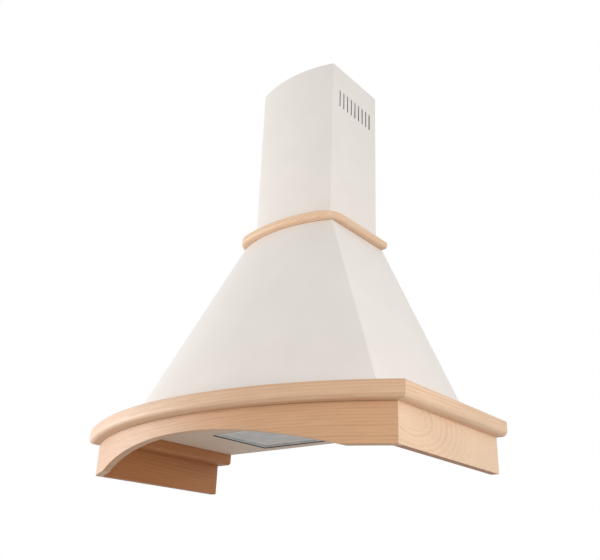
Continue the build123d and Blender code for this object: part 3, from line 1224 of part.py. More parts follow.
def wiring():
    """Terminal box with its lid and gland, the motor's capacitor and the wire loom."""
    capacitor_y = -SHEET - CAPACITOR_RADIUS
    capacitor_top = Z_CANOPY_TOP - CAPACITOR_DROP
    capacitor = rod(
        CAPACITOR_RADIUS,
        (CAPACITOR_X, capacitor_y, capacitor_top - CAPACITOR_LENGTH),
        (CAPACITOR_X, capacitor_y, capacitor_top),
    )
    route = loom_route()
    path = FilletPolyline(*route, radius=bend_radii(route))
    loom = sweep(Plane(origin=path @ 0, z_dir=path % 0) * Circle(LOOM_RADIUS), path=path)
    return {
        "terminal_box": terminal_box(),
        "terminal_box_lid": terminal_box_lid(),
        "cable_gland": cable_gland(),
        "capacitor": capacitor,
        "wiring_loom": loom,
    }


# Everything, one file to a piece

def metal_body():
    """Canopy, back panel, tray and rivets."""
    return {
        "canopy_shell": canopy_shell(),
        "back_panel": back_panel(),
        "body_rivets": group(rivet(place) for place in rivet_places()),
        "underside_tray": underside_tray(),
    }


def hood():
    """Every piece of the hood by name."""
    pieces = wooden_frame() | metal_body() | chimney() | grease_filter()
    pieces |= lamp("left", LAMP_PLACES[0]) | lamp("right", LAMP_PLACES[1]) | {"lamp_leds": lamp_leds()}
    pieces |= switch() | scroll() | {"impeller": impeller()} | motor() | cradle() | outlet() | wiring()
    return pieces


os.makedirs("parts", exist_ok=True)
for node, shape in hood().items():
    export_step(shape, f"parts/{node}.step")
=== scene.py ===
"""Finishes of a chimney range hood: beech frame, cream enamelled canopy and chimney, and the works inside."""

import json
import math
from typing import NamedTuple

import bmesh
import bpy
from bpy.props import FloatProperty, FloatVectorProperty, PointerProperty
from mathutils import Matrix, Vector

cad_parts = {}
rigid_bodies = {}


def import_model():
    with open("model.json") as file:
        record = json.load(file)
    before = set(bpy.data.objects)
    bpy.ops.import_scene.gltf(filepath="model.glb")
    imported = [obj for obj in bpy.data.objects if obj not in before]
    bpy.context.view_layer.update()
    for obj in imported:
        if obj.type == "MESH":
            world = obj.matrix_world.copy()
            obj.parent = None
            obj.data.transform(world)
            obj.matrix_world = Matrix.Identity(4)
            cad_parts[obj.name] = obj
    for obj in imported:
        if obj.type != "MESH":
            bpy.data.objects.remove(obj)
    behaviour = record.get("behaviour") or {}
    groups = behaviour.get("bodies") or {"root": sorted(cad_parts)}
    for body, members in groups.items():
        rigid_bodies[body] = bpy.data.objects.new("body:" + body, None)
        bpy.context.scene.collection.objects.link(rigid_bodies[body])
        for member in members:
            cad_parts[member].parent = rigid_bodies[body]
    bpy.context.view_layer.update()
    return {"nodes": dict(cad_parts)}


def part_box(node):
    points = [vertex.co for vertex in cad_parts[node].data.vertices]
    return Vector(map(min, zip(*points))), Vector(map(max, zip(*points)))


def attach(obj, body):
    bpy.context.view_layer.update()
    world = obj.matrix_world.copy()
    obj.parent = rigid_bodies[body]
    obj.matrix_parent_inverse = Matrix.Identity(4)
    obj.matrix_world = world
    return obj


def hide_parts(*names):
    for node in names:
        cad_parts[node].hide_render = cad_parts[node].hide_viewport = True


bl_info = {
    "name": "Chimney Range Hood",
    "version": (1, 0, 0),
    "blender": (4, 5, 0),
    "location": "View3D > Sidebar > Range Hood",
    "description": "Gives a packed chimney range hood its timber, enamel, metals, plastics and studio",
    "category": "Object",
}

# The factory scene's own objects go before the frame comes in.
for leftover in list(bpy.data.objects):
    bpy.data.objects.remove(leftover)

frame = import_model()

# Lengths of the solids that the finishes follow, in metres
BOW_CENTRE_Y = 0.343            # upright axis of the cornice's bowed front, behind the wall
BOW_RADIUS = 0.865
CORNICE_HALF_WIDTH = 0.450
CORNICE_TOP = -0.2935           # just under the cornice's top face
FRIEZE_FACE = 0.026             # cornice's outer face to just behind the frieze's face
FRIEZE_BACK = 0.0425            # and to just before the frieze's back
CHIMNEY_HALF_WIDTH = 0.124      # the collar's mitres run to the chimney's corners
CHIMNEY_SIDE_DEPTH = 0.196
SLOTS_HALF_SPREAD = 0.080       # vent slots, each way from the middle of the chimney's side

# Radius to which each finish rounds its edges, in metres
TIMBER_EDGE = 0.0015
ENAMEL_EDGE = 0.0012
FILTER_EDGE = 0.0015
SHEET_EDGE = 0.0006             # thin sheet and moulded plastic
RIM_EDGE = 0.0005               # trim rings and glass of the lamps, and the seal
CORE_EDGE = 0.0004              # motor's iron and the lamps' light source
SCREW_EDGE = 0.0003

# Marks in the finishes, in metres
JOINT_SHADE_WIDTH = 0.0018             # from a joint to where its painted shade ends
ROLLING_DEPTH = 0.00001
TRUNK_SWAY = 0.014              # how far the trunk's pith wanders

# Marks per metre, along the grain or the rolling and across it
SWAY_SCALE = (1.6, 9.0)
FIBRE_SCALE = (14.0, 420.0)
RAY_SCALE = (160.0, 1300.0)
TONE_SCALE = (2.2, 11.0)
ROLLING_SCALE = (30.0, 1400.0)

NOISE_RANGE = (0.3, 0.7)        # what most of a noise lies between
UPRIGHT_LIMIT = 0.5             # an upright face's normal rises less than this
WELD_SHARE = 0.01               # of a diamond's width, within which the corners of the mesh are joined

# Section of the filter's seal, as shares of half its width and of its drop
SEAL_SECTION = ((-1.0, 0.0), (-1.0, -0.55), (-0.66, -0.88), (0.0, -1.0),
                (0.66, -0.88), (1.0, -0.55), (1.0, 0.0))

# Studio lights, in metres: where they stand, how large they are, and what they face
KEY_PLACE = (-3.1, -1.9, -0.45)
KEY_SIZE = 2.0
FILL_PLACE = (3.0, -1.1, -0.25)
FILL_SIZE = 1.6
LIT_POINT = (0.0, -0.25, 0.0)


# Settings that a user would change

def colour(label, text, default):
    """A colour setting, in scene-linear values."""
    return FloatVectorProperty(
        name=label, description=text, default=default, subtype="COLOR", min=0.0, max=1.0)


def length(label, text, default):
    """A length setting, in metres."""
    return FloatProperty(name=label, description=text, default=default, unit="LENGTH", precision=5)


def angle(label, text, default):
    """An angle setting, in radians."""
    return FloatProperty(name=label, description=text, default=default, subtype="ANGLE", precision=5)


def share(label, text, default):
    """A setting from nothing to all."""
    return FloatProperty(name=label, description=text, default=default, subtype="FACTOR", min=0.0, max=1.0)


def power(label, text, default):
    """A lamp's power, in watts."""
    return FloatProperty(name=label, description=text, default=default, unit="POWER")


class HoodTimber(bpy.types.PropertyGroup):
    """Lacquered beech of the frame and the collar"""

    sap: colour("Sapwood", "Ground of the palest boards", (0.88, 0.635, 0.435))
    sap_line: colour("Sapwood Lines", "Growth lines of the palest boards", (0.69, 0.42, 0.25))
    heart: colour("Heartwood", "Ground of the darkest boards", (0.63, 0.305, 0.115))
    heart_line: colour("Heartwood Lines", "Growth lines of the darkest boards", (0.44, 0.19, 0.065))
    fleck: colour("Flecks", "Short ray flecks along the grain", (0.36, 0.19, 0.09))
    # The inside colour is painted shade: the boards' faces inside the frame are drawn darker in place of the
    # shade they lie in.
    inside: colour("Inside", "Painted shade on the faces inside the frame", (0.51, 0.205, 0.060))
    # The seam colour is painted shade, laid into the joints between boards wherever ambient occlusion finds
    # them.
    seam: colour("Painted Joint Shade", "Painted shade in the joints between boards", (0.26, 0.14, 0.075))
    figure: share("Figure", "How strongly the growth lines show", 0.60)
    roughness: share("Roughness", "Roughness of the satin lacquer", 0.50)
    grain_depth: length("Grain Depth", "Depth of the open grain under the lacquer", 0.00008)


class HoodEnamel(bpy.types.PropertyGroup):
    """Cream enamel on the canopy, the chimney and the tray"""

    cream: colour("Cream", "Enamel of the canopy and the chimney", (0.88, 0.825, 0.775))
    # The tray colour is the cream enamel made darker and warmer: painted shade and painted warm bounce from
    # the wood round it.
    tray: colour("Tray", "Cream enamel of the tray, darkened and warmed as painted shade", (0.80, 0.635, 0.50))
    # The primer colour is partly a real dark priming coat and partly painted shade: its near-black tone
    # stands in for the shade inside the shaft and on the slots' cut edges.
    primer_and_shade: colour("Primer", "Dark priming coat inside the chimney, near-black as painted shade of the shaft", (0.045, 0.041, 0.037))
    # The seam colour is painted shade, laid into the joints between sheets wherever ambient occlusion finds
    # them.
    seam: colour("Painted Joint Shade", "Painted shade in the joints between sheets", (0.30, 0.26, 0.22))
    roughness: share("Roughness", "Roughness of the satin enamel", 0.55)
    peel_size: length("Peel Size", "Across one ripple of the sprayed surface", 0.0022)
    peel_depth: length("Peel Depth", "Depth of the ripples", 0.00002)


class HoodMetals(bpy.types.PropertyGroup):
    """Bare metals"""

    zinc: colour("Zinc", "Galvanised sheet", (0.56, 0.57, 0.58))
    aluminium: colour("Aluminium", "Grease filter", (0.93, 0.91, 0.885))
    screw: colour("Screw Steel", "Screws, rivets, pins and the shaft", (0.60, 0.59, 0.57))
    chrome: colour("Chrome", "Trim rings of the lamps", (0.80, 0.80, 0.80))
    brass: colour("Brass", "Motor bushes", (0.68, 0.47, 0.20))
    iron: colour("Iron", "Laminated stator and rotor", (0.20, 0.20, 0.21))


class HoodFilter(bpy.types.PropertyGroup):
    """Expanded metal and seal of the grease filter"""

    mesh_length: length("Mesh Length", "Long way of one diamond of the expanded metal", 0.010)
    mesh_width: length("Mesh Width", "Short way of one diamond", 0.0055)
    opening: share("Opening", "Open share of a diamond's width", 0.58)
    twist: length("Twist", "How far the strands are turned out of the sheet", 0.0004)
    sheet: length("Sheet", "Thickness of the expanded metal", 0.00035)
    pleat: length("Pleat", "From one fold of the sheet behind the mesh to the next", 0.006)
    pleat_depth: length("Pleat Depth", "Height of its folds", 0.0022)
    seal_width: length("Seal Width", "Across the rubber seal round the filter", 0.0032)
    seal_drop: length("Seal Drop", "Seal below the tray", 0.0019)
    seal_gap: length("Seal Gap", "Between the filter's frame and the seal", 0.0003)


class HoodPlastics(bpy.types.PropertyGroup):
    """Moulded plastics and rubber"""

    black: colour("Black", "Blower, outlet, boxes and gland", (0.035, 0.035, 0.037))
    switch: colour("Switch", "Trim plate of the switch", (0.50, 0.47, 0.42))
    button: colour("Buttons", "Push buttons of the switch", (0.80, 0.76, 0.68))
    latch: colour("Latch", "Latch of the filter and its case", (0.13, 0.135, 0.14))
    capacitor: colour("Capacitor", "Can of the motor's capacitor", (0.70, 0.69, 0.66))
    rubber: colour("Rubber", "Grommets, seal and the sleeve of the wires", (0.028, 0.027, 0.026))
    grain_depth: length("Grain Depth", "Depth of the moulded grain", 0.00004)


class HoodLamps(bpy.types.PropertyGroup):
    """Glass and light source of the two lamps"""

    glass: colour("Glass", "Frosted lamp glass", (0.93, 0.95, 0.95))
    phosphor: colour("Phosphor", "Light source, unlit", (0.85, 0.68, 0.22))


class HoodStage(bpy.types.PropertyGroup):
    """Camera, light and floor"""

    lens: FloatProperty(name="Lens", description="Focal length of the camera", default=43.9065, unit="CAMERA")
    place: FloatVectorProperty(
        name="Place", description="Where the camera stands", default=(1.09837, -1.44413, -0.63550),
        subtype="TRANSLATION", unit="LENGTH", precision=5)
    yaw: angle("Yaw", "Turn of the camera from the wall's normal", -0.706077)
    pitch: angle("Pitch", "How far the camera looks up", 0.401732)
    roll: angle("Roll", "Tilt of the camera about its view", 0.0381204)
    floor_drop: length("Floor Drop", "Fixing holes down to the floor", 1.95)
    floor_size: length("Floor Size", "Across the floor", 14.0)
    floor: colour("Floor", "Plain pale floor", (0.72, 0.72, 0.72))
    sky: share("Sky", "Light that comes from all round", 0.55)
    key: power("Key Light", "Power of the light at the left front", 24.5)
    fill: power("Fill Light", "Power of the light at the right", 12.0)
    beam: angle("Beam", "Angle within which the lights shine", math.radians(90.0))


class HoodSettings(bpy.types.PropertyGroup):
    """All settings of the range hood"""

    timber: PointerProperty(name="Timber", description="Lacquered beech", type=HoodTimber)
    enamel: PointerProperty(name="Enamel", description="Cream enamel", type=HoodEnamel)
    metals: PointerProperty(name="Metals", description="Bare metals", type=HoodMetals)
    grease_filter: PointerProperty(name="Filter", description="Mesh and seal of the filter", type=HoodFilter)
    plastics: PointerProperty(name="Plastics", description="Plastics and rubber", type=HoodPlastics)
    lamps: PointerProperty(name="Lamps", description="Lamp glass and light source", type=HoodLamps)
    stage: PointerProperty(name="Stage", description="Camera, light and floor", type=HoodStage)


# Node helpers

def put(tree, kind, sockets=None, **settings):
    """Adds a node, sets its settings, and gives its inputs a value or a link."""
    node = tree.nodes.new(kind)
    for label, value in settings.items():
        setattr(node, label, value)
    for key, value in (sockets or {}).items():
        if isinstance(value, bpy.types.NodeSocket):
            tree.links.new(value, node.inputs[key])
        else:
            node.inputs[key].default_value = value
    return node


def node_of(tree, kind):
    """The one node of a kind in a tree."""
    return next(node for node in tree.nodes if node.type == kind)


def maths(tree, operation, first, second=0.0):
    """One step of arithmetic."""
    return put(tree, "ShaderNodeMath", {0: first, 1: second}, operation=operation).outputs[0]


def vectors(tree, operation, first, second=(0.0, 0.0, 0.0)):
    """One step of vector arithmetic."""
    return put(tree, "ShaderNodeVectorMath", {0: first, 1: second}, operation=operation).outputs["Vector"]


def measure(tree, operation, first, second=(0.0, 0.0, 0.0)):
    """A number taken from vectors, such as a length."""
    return put(tree, "ShaderNodeVectorMath", {0: first, 1: second}, operation=operation).outputs["Value"]


def stretch(tree, vector, along, across):
    """Coordinates scaled along the first axis, and across it."""
    return vectors(tree, "MULTIPLY", vector, (along, across, across))


def joined(tree, *axes):
    """Coordinates from single axes."""
    return put(tree, "ShaderNodeCombineXYZ", dict(enumerate(axes))).outputs[0]


def split(tree, vector):
    """The single axes of coordinates."""
    return put(tree, "ShaderNodeSeparateXYZ", {0: vector}).outputs


def noise(tree, vector, scale, detail=2.0):
    """Smooth noise from nothing to one."""
    return put(tree, "ShaderNodeTexNoise", {"Vector": vector, "Scale": scale, "Detail": detail}).outputs[0]


def spread(tree, value, low, high, to_low=0.0, to_high=1.0):
    """A value carried from one range to another and held inside it."""
    sockets = {"Value": value, "From Min": low, "From Max": high, "To Min": to_low, "To Max": to_high}
    return put(tree, "ShaderNodeMapRange", sockets).outputs["Result"]


def vary(tree, value, to_low, to_high):
    """The usual range of a noise carried to another."""
    return spread(tree, value, *NOISE_RANGE, to_low, to_high)


def mix(tree, factor, first, second, blend="MIX"):
    """Two colours mixed, through the node's colour sockets."""
    sockets = {0: factor, 6: first, 7: second}
    return put(tree, "ShaderNodeMix", sockets, data_type="RGBA", blend_type=blend).outputs[2]


def blend_of(tree, factor, first, second):
    """Two values mixed, through its value sockets."""
    return put(tree, "ShaderNodeMix", {0: factor, 2: first, 3: second}, data_type="FLOAT").outputs[0]


def shaded(tree, tint, factor):
    """A colour made lighter or darker."""
    return put(tree, "ShaderNodeVectorMath", {0: tint, "Scale": factor}, operation="SCALE").outputs[0]


def opaque(tint):
    """A setting's colour with its alpha."""
    return (*tint, 1.0)


def start_group(name, inputs, outputs):
    """An empty node group with named sockets; gives its tree, what comes in, and what goes out."""
    tree = bpy.data.node_groups.new(name, "ShaderNodeTree")
    for label, kind in inputs:
        tree.interface.new_socket(label, in_out="INPUT", socket_type=kind)
    for label, kind in outputs:
        tree.interface.new_socket(label, in_out="OUTPUT", socket_type=kind)
    return tree, put(tree, "NodeGroupInput").outputs, put(tree, "NodeGroupOutput").inputs


VECTOR, COLOUR, VALUE = "NodeSocketVector", "NodeSocketColor", "NodeSocketFloat"
SURFACE = [("Color", COLOUR), ("Roughness", VALUE), ("Height", VALUE)]


# Effects that several finishes share

def beech_grain():
    """Growth rings about the trunk's pith, fibres and ray flecks; the first coordinate runs along it."""
    inputs = [("Vector", VECTOR), ("Pale", COLOUR), ("Dark", COLOUR), ("Fleck", COLOUR),
              ("Ring Width", VALUE), ("Reach", VALUE), ("Figure", VALUE), ("Roughness", VALUE)]
    tree, given, result = start_group("Beech Grain", inputs, SURFACE)
    trunk = given["Vector"]

    # The trunk sways a little, so its rings do too.
    slow = stretch(tree, trunk, *SWAY_SCALE)
    wander = put(tree, "ShaderNodeTexNoise", {"Vector": slow, "Scale": 1.0, "Detail": 2.0}).outputs[1]
    centred = vectors(tree, "SUBTRACT", wander, (0.5, 0.5, 0.5))
    bent = vectors(tree, "ADD", trunk, stretch(tree, centred, 0.0, TRUNK_SWAY))

    # Each year's ring darkens slowly and ends sharply, some years more than others, and fades at the reach.
    radius = measure(tree, "LENGTH", stretch(tree, bent, 0.0, 1.0))
    turn = maths(tree, "DIVIDE", radius, given["Ring Width"])
    year = put(tree, "ShaderNodeTexWhiteNoise", {"W": maths(tree, "FLOOR", turn)}, noise_dimensions="1D")
    growth = put(tree, "ShaderNodeValToRGB", {0: maths(tree, "FRACT", turn)})
    growth.color_ramp.interpolation = "EASE"
    growth.color_ramp.elements[0].color = (0.0, 0.0, 0.0, 1.0)
    growth.color_ramp.elements[1].color = (0.0, 0.0, 0.0, 1.0)
    growth.color_ramp.elements.new(0.80).color = (1.0, 1.0, 1.0, 1.0)
    faded = spread(tree, maths(tree, "DIVIDE", radius, given["Reach"]), 0.6, 1.0, 1.0, 0.1)
    young = maths(tree, "MULTIPLY", faded, spread(tree, turn, 1.0, 4.0))
    strength = maths(tree, "MULTIPLY", spread(tree, year.outputs[0], 0.0, 1.0, 0.35, 1.0), young)
    ring = maths(tree, "MULTIPLY", growth.outputs[0], strength)

    # Fibres follow the rings, short ray flecks are strewn between them, and the tone changes slowly.
    fibre = noise(tree, stretch(tree, bent, *FIBRE_SCALE), 1.0, 3.0)
    ray = spread(tree, noise(tree, stretch(tree, trunk, *RAY_SCALE), 1.0, 1.0), 0.62, 0.74)
    tone = noise(tree, stretch(tree, trunk, *TONE_SCALE), 1.0, 1.0)
    drawn = maths(tree, "ADD", maths(tree, "MULTIPLY", ring, 0.75), spread(tree, fibre, 0.35, 0.75, 0.0, 0.7))
    ground = mix(tree, maths(tree, "MULTIPLY", drawn, given["Figure"]), given["Pale"], given["Dark"])
    flecked = mix(tree, maths(tree, "MULTIPLY", ray, 0.28), ground, given["Fleck"])
    tree.links.new(shaded(tree, flecked, vary(tree, tone, 0.92, 1.04)), result["Color"])
    rough = maths(tree, "ADD", given["Roughness"], vary(tree, fibre, -0.05, 0.07))
    tree.links.new(rough, result["Roughness"])
    tree.links.new(maths(tree, "SUBTRACT", spread(tree, fibre, 0.35, 0.7), ray), result["Height"])
    return tree


def sprayed_skin():
    """Ripples, a slight mottle of tone and an uneven gloss of a sprayed or moulded skin."""
    inputs = [("Vector", VECTOR), ("Tint", COLOUR), ("Roughness", VALUE), ("Ripple Size", VALUE)]
    tree, given, result = start_group("Sprayed Skin", inputs, SURFACE)
    ripple = noise(tree, given["Vector"], maths(tree, "DIVIDE", 1.0, given["Ripple Size"]))
    mottle = noise(tree, given["Vector"], 9.0, 4.0)
    tree.links.new(shaded(tree, given["Tint"], vary(tree, mottle, 0.975, 1.015)), result["Color"])
    uneven = maths(tree, "ADD", vary(tree, mottle, -0.04, 0.04), vary(tree, ripple, -0.02, 0.02))
    tree.links.new(maths(tree, "ADD", given["Roughness"], uneven), result["Roughness"])
    tree.links.new(ripple, result["Height"])
    return tree


def rolled_metal():
    """Fine lines of rolling or turning along the first coordinate, with darker stains."""
    inputs = [("Vector", VECTOR), ("Tint", COLOUR), ("Roughness", VALUE)]
    tree, given, result = start_group("Rolled Metal", inputs, SURFACE)
    line = noise(tree, stretch(tree, given["Vector"], *ROLLING_SCALE), 1.0, 3.0)
    stain = noise(tree, given["Vector"], 35.0, 4.0)
    shade = maths(tree, "MULTIPLY", vary(tree, line, 0.93, 1.04), spread(tree, stain, 0.3, 0.75, 1.02, 0.88))
    tree.links.new(shaded(tree, given["Tint"], shade), result["Color"])
    uneven = maths(tree, "ADD", vary(tree, line, -0.06, 0.06), spread(tree, stain, 0.4, 0.75, 0.0, 0.1))
    tree.links.new(maths(tree, "ADD", given["Roughness"], uneven), result["Roughness"])
    tree.links.new(line, result["Height"])
    return tree


def soft_edge():
    """A normal that rolls over sharp edges, and a mask of painted shade where one piece meets another, from
    ambient occlusion.
    """
    tree, given, result = start_group("Soft Edge", [("Radius", VALUE), ("Seam Width", VALUE)],
                                      [("Normal", VECTOR), ("Seam", VALUE)])
    rolled = put(tree, "ShaderNodeBevel", {"Radius": given["Radius"]}, samples=6).outputs[0]
    near = put(tree, "ShaderNodeAmbientOcclusion", {"Distance": given["Seam Width"]}, samples=8).outputs["AO"]
    tree.links.new(rolled, result["Normal"])
    tree.links.new(spread(tree, near, 0.85, 0.45), result["Seam"])
    return tree


def frame_inside():
    """A mask of the boards' faces inside the frame, below the cornice's top, which take painted shade."""
    tree, given, result = start_group("Frame Inside", [("Vector", VECTOR)], [("Mask", VALUE)])
    axes = split(tree, given["Vector"])
    reach = measure(tree, "LENGTH", joined(tree, axes["X"], maths(tree, "SUBTRACT", axes["Y"], BOW_CENTRE_Y)))
    behind = maths(tree, "LESS_THAN", reach, BOW_RADIUS - FRIEZE_BACK)
    between = maths(tree, "LESS_THAN", maths(tree, "ABSOLUTE", axes["X"]), CORNICE_HALF_WIDTH - FRIEZE_FACE)
    below = maths(tree, "LESS_THAN", axes["Z"], CORNICE_TOP)
    tree.links.new(maths(tree, "MULTIPLY", maths(tree, "MULTIPLY", behind, between), below), result["Mask"])
    return tree


def shaft_inside():
    """A mask of the faces that look towards the chimney's middle, and of the cut edges of its slots."""
    tree, given, result = start_group("Shaft Inside", [("Vector", VECTOR)], [("Mask", VALUE)])
    out = vectors(tree, "SUBTRACT", given["Vector"], (0.0, -CHIMNEY_SIDE_DEPTH / 2, 0.0))
    level = vectors(tree, "MULTIPLY", out, (1.0, 1.0, 0.0))
    face = put(tree, "ShaderNodeNewGeometry").outputs["Normal"]
    inward = maths(tree, "LESS_THAN", measure(tree, "DOT_PRODUCT", level, face), SLOTS_HALF_SPREAD)
    upright = maths(tree, "LESS_THAN", maths(tree, "ABSOLUTE", split(tree, face)["Z"]), UPRIGHT_LIMIT)
    tree.links.new(maths(tree, "MULTIPLY", inward, upright), result["Mask"])
    return tree


GROUPS = {}


def group(tree, maker, sockets):
    """Places one of the shared effects, which is made the first time it is asked for."""
    if maker not in GROUPS:
        GROUPS[maker] = maker()
    return put(tree, "ShaderNodeGroup", sockets, node_tree=GROUPS[maker]).outputs


# Finishes

def start_finish(name):
    """An empty finish: its material, tree, shader and object coordinates."""
    material = bpy.data.materials.new(name)
    material.use_nodes = True
    tree = material.node_tree
    tree.nodes.clear()
    shader = put(tree, "ShaderNodeBsdfPrincipled")
    put(tree, "ShaderNodeOutputMaterial", {"Surface": shader.outputs[0]})
    return material, tree, shader, put(tree, "ShaderNodeTexCoord").outputs["Object"]


def surface(tree, shader, look, depth, edge, seam=None, inside=None):
    """Carries an effect's colour, roughness and height to the shader; inside is a mask and its colour."""
    rim = group(tree, soft_edge, {"Radius": edge, "Seam Width": JOINT_SHADE_WIDTH})
    tint = look["Color"]
    if inside is not None:
        mask, inner = inside
        tint = mix(tree, mask, tint, inner)
    # Painted shade: joints darken towards the seam colour wherever ambient occlusion finds them.
    if seam is not None:
        tint = mix(tree, rim["Seam"], tint, opaque(seam))
    tree.links.new(tint, shader.inputs["Base Color"])
    tree.links.new(look["Roughness"], shader.inputs["Roughness"])
    bump = put(tree, "ShaderNodeBump", {"Height": look["Height"], "Distance": depth, "Normal": rim["Normal"]})
    tree.links.new(bump.outputs[0], shader.inputs["Normal"])


def tune(material, values):
    """Sets plain values on a finish's shader."""
    shader = node_of(material.node_tree, "BSDF_PRINCIPLED")
    for label, value in values.items():
        shader.inputs[label].default_value = value
    return material


class Board(NamedTuple):
    """How one board lies in the hood and was cut from its trunk"""

    layout: str             # which way the board runs
    heart: float            # tone, from sapwood at 0 to heartwood at 1
    ring_width: float
    pith: tuple             # where the trunk's pith ran: along the board, across its face, and into it
    lean: tuple             # how the pith leant there
    reach: float = 9.0      # how far from the pith the rings show, which is all over unless given


BOARDS = {
    "cornice_front": Board("bowed", 0.32, 0.0060, (0.0, -0.62, 0.80), (0.0, 0.004, 0.012)),
    "cornice_left": Board("side", 0.35, 0.0065, (0.0, -0.60, -0.38), (0.0, 0.01, -0.015)),
    "cornice_right": Board("side", 0.10, 0.0070, (0.0, -0.60, 0.40), (0.0, 0.01, 0.015)),
    "frieze_front": Board("bowed", 0.62, 0.0058, (0.0, -0.75, 0.80), (0.0, 0.01, 0.008)),
    "frieze_left": Board("side", 0.35, 0.0085, (0.0, -0.72, -0.40), (0.0, 0.01, -0.03)),
    "frieze_right": Board("side", 0.0, 0.0090, (-0.335, -0.344, 0.425), (0.0, 0.50, 0.0), reach=0.115),
    "chimney_collar": Board("mitred", 0.05, 0.0050, (0.0, -0.05, 0.15), (0.0, 0.01, 0.01)),
    "frame_dowels": Board("straight", 0.20, 0.0050, (0.0, 0.10, -0.36), (0.0, 0.0, 0.0)),
}


def board_axes(tree, place, layout):
    """Coordinates of a board: along it, across its face, and into it."""
    axes = split(tree, place)
    if layout == "bowed":
        ahead = maths(tree, "SUBTRACT", BOW_CENTRE_Y, axes["Y"])
        along = maths(tree, "MULTIPLY", maths(tree, "ARCTAN2", axes["X"], ahead), BOW_RADIUS)
        return joined(tree, along, axes["Z"], measure(tree, "LENGTH", joined(tree, axes["X"], ahead)))
    if layout == "side":
        return joined(tree, axes["Y"], axes["Z"], axes["X"])
    if layout == "mitred":
        beside = maths(tree, "SUBTRACT", maths(tree, "ABSOLUTE", axes["X"]), CHIMNEY_HALF_WIDTH)
        ahead = maths(tree, "SUBTRACT", maths(tree, "MULTIPLY", axes["Y"], -1.0), CHIMNEY_SIDE_DEPTH)
        side = maths(tree, "GREATER_THAN", beside, ahead)
        along = blend_of(tree, side, axes["X"], axes["Y"])
        return joined(tree, along, axes["Z"], blend_of(tree, side, axes["Y"], axes["X"]))
    return place


def beech(timber, name, board):
    """Lacquered beech for one board, darkened as painted shade where it faces into the frame."""
    material, tree, shader, place = start_finish(name)
    axes = board_axes(tree, place, board.layout)
    trunk = put(tree, "ShaderNodeMapping", {"Vector": axes, "Location": board.pith, "Rotation": board.lean},
                vector_type="TEXTURE")
    ground = Vector(timber.sap).lerp(Vector(timber.heart), board.heart)
    line = Vector(timber.sap_line).lerp(Vector(timber.heart_line), board.heart)
    look = group(tree, beech_grain, {
        "Vector": trunk.outputs[0], "Pale": opaque(ground), "Dark": opaque(line),
        "Fleck": opaque(timber.fleck), "Ring Width": board.ring_width, "Reach": board.reach,
        "Figure": timber.figure, "Roughness": timber.roughness})
    # Painted shade: faces inside the frame are darkened to the inside colour.
    inside_shade_ratio = [wanted / bare for wanted, bare in zip(timber.inside, ground)]
    shaded_inside = mix(tree, 1.0, look["Color"], opaque(inside_shade_ratio), "MULTIPLY")
    inside = (group(tree, frame_inside, {"Vector": place})["Mask"], shaded_inside)
    # Painted shade in the joints, which the side boards go without.
    seam = None if board.layout == "side" else timber.seam
    surface(tree, shader, look, timber.grain_depth, TIMBER_EDGE, seam, inside)
    return tune(material, {"Specular IOR Level": 0.3, "Coat Weight": 0.7, "Coat Roughness": 0.55})


def skin(name, tint, roughness, ripple, depth, edge=SHEET_EDGE, seam=None, primer_and_shade=None):
    """Enamel, plastic, rubber or glass, with a dark priming coat on the inside of a chimney section whose
    near-black tone is partly painted shade.
    """
    material, tree, shader, place = start_finish(name)
    look = group(tree, sprayed_skin, {
        "Vector": place, "Tint": opaque(tint), "Roughness": roughness, "Ripple Size": ripple})
    inside = None
    # Partly painted shade: faces inside the chimney and the slots' cut edges take the near-black primer.
    if primer_and_shade is not None:
        inside = (group(tree, shaft_inside, {"Vector": place})["Mask"], opaque(primer_and_shade))
    surface(tree, shader, look, depth, edge, seam, inside)
    return material


def metal(name, tint, roughness, edge, depth=ROLLING_DEPTH):
    """Bare metal with its lines of rolling."""
    material, tree, shader, place = start_finish(name)
    look = group(tree, rolled_metal, {"Vector": place, "Tint": opaque(tint), "Roughness": roughness})
    surface(tree, shader, look, depth, edge)
    return tune(material, {"Metallic": 1.0})


def dress(material, *names):
    """Gives CAD nodes a finish."""
    for name in names:
        for slot in frame["nodes"][name].material_slots:
            slot.material = material


# Meshes

def corners_of(name):
    """The lowest and highest corner of a CAD node at rest."""
    return [Vector(corner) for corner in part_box(name)]


def linked(name, shape):
    """A mesh object in the scene, from a finished shape."""
    mesh = bpy.data.meshes.new(name)
    shape.to_mesh(mesh)
    shape.free()
    piece = bpy.data.objects.new(name, mesh)
    bpy.context.scene.collection.objects.link(piece)
    return piece


def solid_sheet(name, shape, thickness):
    """A mesh object of sheet metal, as thick on one side of the shape as on the other."""
    piece = linked(name, shape)
    sheet = piece.modifiers.new("sheet", "SOLIDIFY")
    sheet.thickness = thickness
    sheet.offset = 0.0
    return piece


# Operators

class HOOD_OT_wooden_frame(bpy.types.Operator):
    """Gives the cornice planks, the frieze boards and the collar their beech"""

    bl_idname = "hood.wooden_frame"
    bl_label = "Wooden Frame"
    bl_options = {"REGISTER", "UNDO"}

    def execute(self, context):
        """Each board comes from its own part of the trunk."""
        timber = context.scene.range_hood.timber
        for name, board in BOARDS.items():
            dress(beech(timber, "beech_" + name, board), name)
        return {"FINISHED"}


